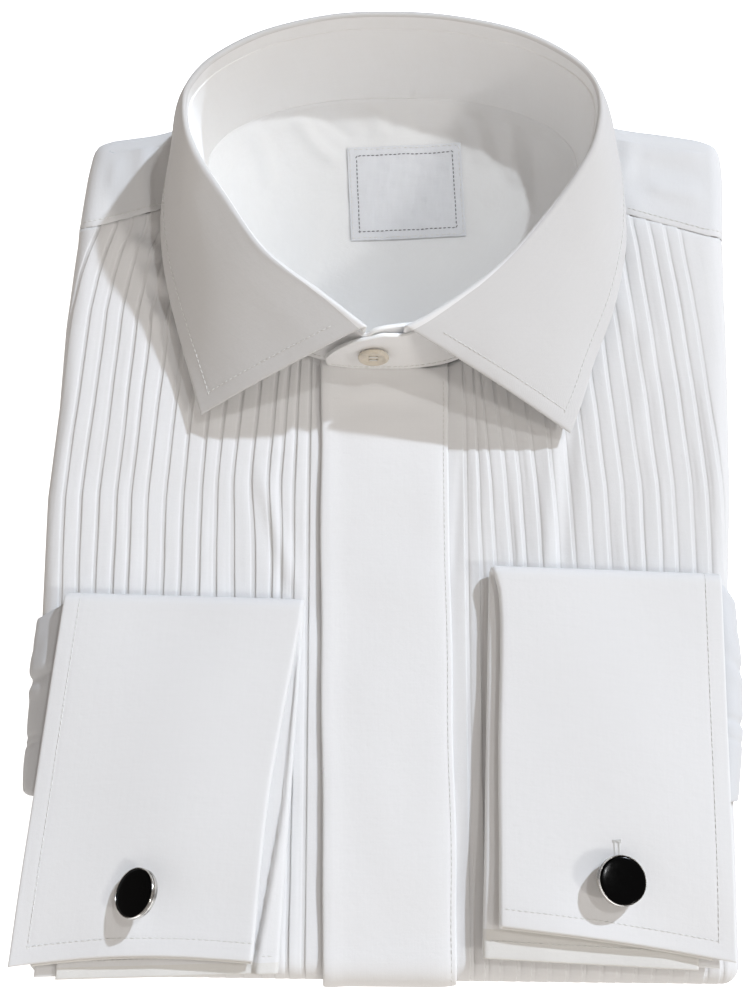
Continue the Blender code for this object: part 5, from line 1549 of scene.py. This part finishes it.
def make_button():
    """The four-hole collar button and the threads that hold it."""
    centre, lean = button_place()
    r, thick = BUTTON_RADIUS, BUTTON_THICK
    tilt = (0.0, lean - 90.0)
    profile = ((0.0, 0.0), (r - 1.6, 0.0), (r - 0.9, 0.15), (r - 0.3, 0.5), (r, 1.0),
               (r, thick - 0.75), (r - 0.2, thick - 0.3), (r - 0.6, thick - 0.05),
               (r - 1.0, thick), (r - 1.4, thick - 0.12), (r - 1.8, thick - 0.42),
               (r - 2.2, thick - 0.62), (r - 2.8, thick - 0.7), (0.0, thick - 0.7))
    button = turned("collar_button_finish", profile, 64, centre, tilt, resin)
    turn = Matrix.Rotation(math.radians(90.0 - lean), 3, "X")
    middles = [turn @ Vector((HOLE_PLACE * across, HOLE_PLACE * up, 0.0)) + Vector(centre)
               for across, up in ((1, 1), (-1, 1), (-1, -1), (1, -1))]
    bore = ((HOLE_RADIUS, -1.0), (HOLE_RADIUS, thick + 1.0))
    holes = [turned(f"hole_{number}", bore, 20, middle, tilt, resin)
             for number, middle in enumerate(middles)]
    dressed(combine(button, holes, "DIFFERENCE"), "collar_button", "cream_resin")
    button.data.set_sharp_from_angle(angle=math.radians(SHARP))
    facing = turn @ Vector((0.0, 0.0, 1.0))
    lines = []
    for first, second in ((0, 1), (3, 2)):
        for shift in (-THREAD_SHIFT, THREAD_SHIFT):
            ends = [middles[first], middles[second]]
            points = [np.array(end + facing * (thick - 0.55) + turn @ Vector((0, shift, 0)))
                      for end in ends]
            lines.append((points, [tuple(facing)] * 2))
    sew("button_thread", lines, pitch=0.25, length=0.6, width=0.3, unevenness=0.02)


HEAD_RADIUS = 8.5
HEAD_DEPTH = 3.6
HEAD_SHARP = 35.0              # the head's rims are finer
BAR_LENGTH = 15.0
BAR_SIDES = 24


def make_cufflink(side):
    """Head, post and bar of a cufflink in one piece, and the face set in its head."""
    corners = CUFFS[side]
    x, y = corners["link"]
    tilt = corners["head_tilt"]
    r, depth = HEAD_RADIUS, HEAD_DEPTH
    bed = float(cuff_bed(x, y, 0.8))
    seat = bed + 2.0 * CUFF_HALF + corners["head_room"]
    seat = seat + r * math.sin(math.radians(math.hypot(*tilt)))
    head = ((0.0, -1.2), (2.2, -1.2), (2.7, -0.9), (3.4, -0.5), (r - 2.4, 0.0), (r - 0.9, 0.35),
            (r - 0.25, 0.9), (r, 1.5), (r, depth - 1.1), (r - 0.18, depth - 0.95),
            (r - 0.18, depth - 0.8), (r, depth - 0.65), (r - 0.06, depth - 0.2),
            (r - 0.2, depth), (r - 0.34, depth), (r - 0.44, depth - 0.12),
            (r - 0.48, depth - 0.5), (r - 0.48, depth - 1.0), (0.0, depth - 1.0))
    mount = turned(f"cufflink_{side}_mount_finish", head, 72, (x, y, seat), tilt, silver,
                   HEAD_SHARP)
    foot = bed - 1.6
    post = turned(f"post_{side}", ((0.0, 0.0), (2.0, 0.0), (2.0, 1.0), (1.7, 1.6),
                                   (1.7, seat - 0.8 - foot), (2.0, seat + 0.2 - foot),
                                   (0.0, seat + 0.2 - foot)), 28, (x, y, foot), (0, 0), silver)
    along = np.array((-0.5, -0.48, -0.43, -0.33, -0.16, 0.16, 0.33, 0.43, 0.48, 0.5))
    share = np.array((0.0, 0.35, 0.62, 0.88, 1.0, 1.0, 0.88, 0.62, 0.35, 0.0))
    angle = np.linspace(0.0, math.tau, BAR_SIDES, endpoint=False)
    rings = np.stack([np.stack((x + part * 2.3 * np.cos(angle),
                                np.full(BAR_SIDES, y + step * BAR_LENGTH),
                                bed - 1.55 + part * 1.25 * np.sin(angle)), axis=1)
                      for step, part in zip(along, share)])
    bar = mesh_object(f"bar_{side}", rings.reshape(-1, 3), ring_faces(len(along), BAR_SIDES),
                      (silver,))
    dressed(combine(mount, (post, bar), "UNION"), f"cufflink_{side}_mount",
            "polished_silver")
    mount.data.set_sharp_from_angle(angle=math.radians(HEAD_SHARP))
    dome = [(r - 0.56, depth - 0.8), (r - 0.56, depth - 0.12)]
    dome += [((r - 0.68) * math.cos(angle), depth - 0.05 + 0.32 * math.sin(angle))
             for angle in np.radians((0.0, 10.0, 22.0, 36.0, 52.0, 70.0, 90.0))]
    face = turned(f"cufflink_{side}_face_finish", ((0.0, depth - 0.8), *dome), 72,
                  (x, y, seat), tilt, enamel)
    dressed(face, f"cufflink_{side}_face", "black_enamel")


# ---------------------------------------------------------------- the shirt put together

def label_frame(label, inset):
    """Closed line of stitches a distance inside the label's edges."""
    rows, columns = label.grid.shape[:2]
    top = label.row_at(inset, columns // 2)
    bottom = label.row_at(inset, columns // 2, from_end=True)
    left = label.column_at(inset, rows // 2)
    right = label.column_at(inset, rows // 2, from_end=True)
    corners = ((top, left), (top, right), (bottom, right), (bottom, left), (top, left))
    points = [np.linspace(a, b, 40) for a, b in zip(corners, corners[1:])]
    rows, columns = np.concatenate(points).T
    return seam_line(label, rows, columns)


def fall_lines(fall):
    """Stitching round the collar leaf's edges, and along its fold on the inside."""
    last_row, last_column = (size - 1 for size in fall.grid.shape[:2])
    first = fall.row_at(EDGE_STITCH, last_column - 14)
    final = fall.row_at(EDGE_STITCH, last_column - 14, from_end=True)
    edge = int(round(fall.column_at(EDGE_STITCH, int(first), from_end=True)))
    past_fold = next(column for column in range(last_column)
                     if fall.across[0, column] > FALL_TURN_IN + 9.0)
    return [line_across(fall, EDGE_STITCH, past_fold, edge),
            line_along(fall, EDGE_STITCH, int(round(first)), int(round(final)), from_end=True),
            line_across(fall, EDGE_STITCH, past_fold, edge, from_end=True),
            line_along(fall, FOLD_STITCH, 4, last_row - 4, inside=True)]


def cuff_lines(cuff, leaf_columns):
    """Stitching inside a cuff's free edge and both of its linked ends."""
    last_column = cuff.grid.shape[1] - 1
    free_column = int(round(cuff.column_at(EDGE_STITCH, 5)))
    end_row = int(round(cuff.row_at(EDGE_STITCH, 10)))
    other_end = int(round(cuff.row_at(EDGE_STITCH, 10, from_end=True)))
    return [line_along(cuff, EDGE_STITCH, end_row, other_end),
            line_across(cuff, EDGE_STITCH, free_column, leaf_columns),
            line_across(cuff, EDGE_STITCH, free_column, leaf_columns, from_end=True),
            line_across(cuff, EDGE_STITCH, leaf_columns + 10, last_column - 3, from_end=True)]


def buttonhole(side, cuff, leaf_columns):
    """Close stitches on both sides of the slot under a cufflink, and a bar at its end."""
    x, y = CUFFS[side]["link"]
    near = cuff.outside()[:(len(cuff.grid) - 1) // 2, :leaf_columns]
    up = (0.0, 0.0, 1.0)
    sides = []
    for shift in (-SLOT_HALF, SLOT_HALF):
        points = []
        for step in np.linspace(-3.0, CUFFS[side]["buttonhole"], 12):
            best = np.argmin(np.hypot(near[..., 0] - (x + shift), near[..., 1] - (y + step)))
            points.append((x + shift, y + step, near.reshape(-1, 3)[best, 2] + 0.02))
        points = np.array(points)
        points[:, 2] = np.polyval(np.polyfit(points[:, 1], points[:, 2], 2), points[:, 1])
        sides.append((points, [up] * len(points)))
    end = sides[0][0][-1]
    bar = np.array((end + np.array((-0.6, 0.3, 0.0)), end + np.array((2.1, 0.3, 0.0))))
    return [sew(f"cuff_{side}_buttonhole", sides, pitch=0.34, length=0.3, width=1.1,
                unevenness=0.03, seed=9),
            sew(f"cuff_{side}_bar", [(bar, [up] * 2)], pitch=0.34, length=0.3, width=1.4,
                unevenness=0.03, seed=10)]


stack = stack_cloth()
# The folded layers take the darker, warmer copy: painted shade on their edges.
stack_piece = dressed(stack.make("folded_layers_cloth", cotton_edges_painted_shade), "folded_layers")

for sign in (-1.0, 1.0):
    front = f"front_{hand(sign)}"
    dressed(front_cloth(sign).make(front + "_cloth", cotton), front)

placket = placket_cloth()
placket_piece = dressed(placket.make("placket_cloth", cotton_light_copy), "placket")
placket_seam = sew("placket_stitches", [
    line_along(placket, PLACKET_STITCH, 1, len(placket.grid) - 4, from_end=True)], seed=2)

yoke = yoke_cloth()
yoke_piece = dressed(yoke.make("yoke_cloth", cotton_yoke), "yoke")
yoke_seam = sew("yoke_stitches", [line_across(yoke, YOKE_STITCH, 4, 38, from_end)
                                  for from_end in (False, True)], seed=3)

lining = lining_cloth()
lining_piece = dressed(lining.make("yoke_lining_cloth", cotton_lining_painted_light), "yoke_lining")

label = label_cloth()
label_piece = dressed(label.make("label_cloth", satin), "label", "label_satin")
label_border = sew("label_border", [label_frame(label, inset=3.6)], grey_thread, pitch=1.75,
                   length=1.4, width=0.5, seed=4)
label_rim = sew("label_stitches", [label_frame(label, inset=1.0)], pitch=2.2, length=1.6,
                width=0.3, unevenness=0.1, seed=5)

band = band_cloth()
band_piece = dressed(band.make("collar_stand_cloth", cotton_band_painted_light), "collar_stand")
band_seam = sew("collar_stand_stitches", [
    line_along(band, BAND_STITCH, 4, len(band.grid) - 5)], seed=6)

fall = fall_cloth()
# The leaf's turned-in part takes the band's lighter cotton: painted light.
turned_in = np.zeros(fall.half.shape, bool)
turned_in[:, fall.across.mean(axis=0) < FALL_TURN_IN + 1.0] = True
fall_piece = dressed(fall.make("collar_fall_cloth", cotton_collar_painted_shade, cotton_band_painted_light, turned_in),
                     "collar_fall")
fall_seam = sew("collar_fall_stitches", fall_lines(fall), seed=7)

make_button()

cuff_pieces, sleeve_pieces, cuff_seams = {}, {}, {}
# Painted light: the left cuff takes the lighter copy and the right cuff the plain cotton, so that
# the left cuff looks more brightly lit.
for side, cloth in (("right", cotton), ("left", cotton_light_copy)):
    cuff, leaf_columns, painted_shade_ends = cuff_cloth(side)
    # The painted shade on the ends stays off the outer leaf and its fold.
    painted_shade_ends[:, :leaf_columns + 5] = False
    cuff_pieces[side] = dressed(
        cuff.make(f"cuff_{side}_cloth", cloth, cotton_edges_painted_shade, painted_shade_ends), f"cuff_{side}")
    cuff_seams[side] = [sew(f"cuff_{side}_stitches", cuff_lines(cuff, leaf_columns), seed=8)]
    sleeve_pieces[side] = dressed(
        sleeve_cloth(side).make(f"sleeve_{side}_cloth", cotton_sleeve_painted_shade), f"sleeve_{side}")
    make_cufflink(side)
    cuff_seams[side] += buttonhole(side, cuff, leaf_columns)


# ---------------------------------------------------------------- floor, light and camera

FLOOR_HALF = 1500.0
FLOOR_LEVEL = -0.05            # just under the shirt


def make_floor():
    corners = ((-1, -1), (1, -1), (1, 1), (-1, 1))
    floor = mesh_object("floor", [(x * FLOOR_HALF, y * FLOOR_HALF, FLOOR_LEVEL)
                                  for x, y in corners], [(0, 1, 2, 3)], (paper_material(),))
    floor.visible_diffuse = False


def paper_material():
    """White paper that is bright of itself, so that its own white stays clean."""
    material, tree, shader, place = new_material("studio_paper", (0.93, 0.93, 0.93), 0.9)
    grain = colour_ramp(tree, noise(tree, place, scale=60.0, detail=3.0), (0.92, 0.92, 0.92),
                        (0.95, 0.95, 0.95))
    tree.links.new(grain, shader.inputs["Base Color"])
    shader.inputs["Emission Color"].default_value = (1.0, 1.0, 1.0, 1.0)
    shader.inputs["Emission Strength"].default_value = 1.0
    return material


# Way to each lamp, strength, angle and colour
LAMPS = (
    ("overhead", (0.45, 0.37, 1.0), 0.4, 2.0, (0.97, 0.985, 1.0)),
    ("into_neck", (0.45, 0.37, 1.0), 0.66, 2.0, (0.88, 0.95, 1.0)),
    ("behind_left", (0.98, 1.0, 1.0), 2.15, 2.0, (0.79, 0.875, 1.0)),
    ("front_left", (1.2, -0.5, 1.0), 0.6, 6.0, (1.0, 0.97, 0.93)),
)
SKY_BRIGHT_SIDE = (-0.10, -0.96, -0.24)
SKY_DARK = (0.075, 0.06, 0.05)
SKY_LIGHT = (0.86, 0.81, 0.765)


def aim_at(lamp, pieces, state):
    """Let a lamp light only the pieces (INCLUDE), or all but them (EXCLUDE)."""
    group = bpy.data.collections.new(lamp.name + "_pieces")
    for piece in pieces:
        group.objects.link(piece)
    for item in group.collection_objects:
        item.light_linking.link_state = state
    lamp.light_linking.receiver_collection = group


def make_light():
    """Four lamps, and a sky that is brighter on one side."""
    inside = (lining_piece, label_piece, label_border, label_rim)
    for name, way, strength, angle, colour in LAMPS:
        data = bpy.data.lights.new(name, "SUN")
        data.energy = strength
        data.angle = math.radians(angle)
        data.color = colour
        lamp = bpy.data.objects.new(name, data)
        lamp.rotation_euler = Vector(way).to_track_quat("Z", "Y").to_euler()
        SCENE.collection.objects.link(lamp)
        if name == "into_neck":
            aim_at(lamp, (*inside, band_piece), "INCLUDE")
        if name == "behind_left":
            aim_at(lamp, inside, "EXCLUDE")
    world = bpy.data.worlds.new("studio")
    SCENE.world = world
    world.use_nodes = True
    tree = world.node_tree
    way = add_node(tree, "ShaderNodeTexCoord").outputs["Generated"]
    toward = add_node(tree, "ShaderNodeVectorMath", {0: way, 1: SKY_BRIGHT_SIDE},
                      operation="DOT_PRODUCT").outputs["Value"]
    share = math_node(tree, "ADD", math_node(tree, "MULTIPLY", toward, 0.5), 0.5)
    background = tree.nodes["Background"]
    tree.links.new(colour_ramp(tree, share, SKY_DARK, SKY_LIGHT), background.inputs["Color"])
    background.inputs["Strength"].default_value = 1.0


CAMERA_LENS = 48.6
CAMERA_PLACE = (-0.0050, -0.1152, 0.5101)
CAMERA_TILT = 12.5             # degrees from looking straight down


def make_camera():
    data = bpy.data.cameras.new("camera")
    data.lens = CAMERA_LENS
    data.sensor_width = 36.0
    data.sensor_fit = "AUTO"
    camera = bpy.data.objects.new("camera", data)
    camera.location = CAMERA_PLACE
    camera.rotation_euler = (math.radians(CAMERA_TILT), 0.0, 0.0)
    SCENE.collection.objects.link(camera)
    SCENE.camera = camera


make_floor()
make_light()
make_camera()
SCENE.view_settings.view_transform = "Standard"
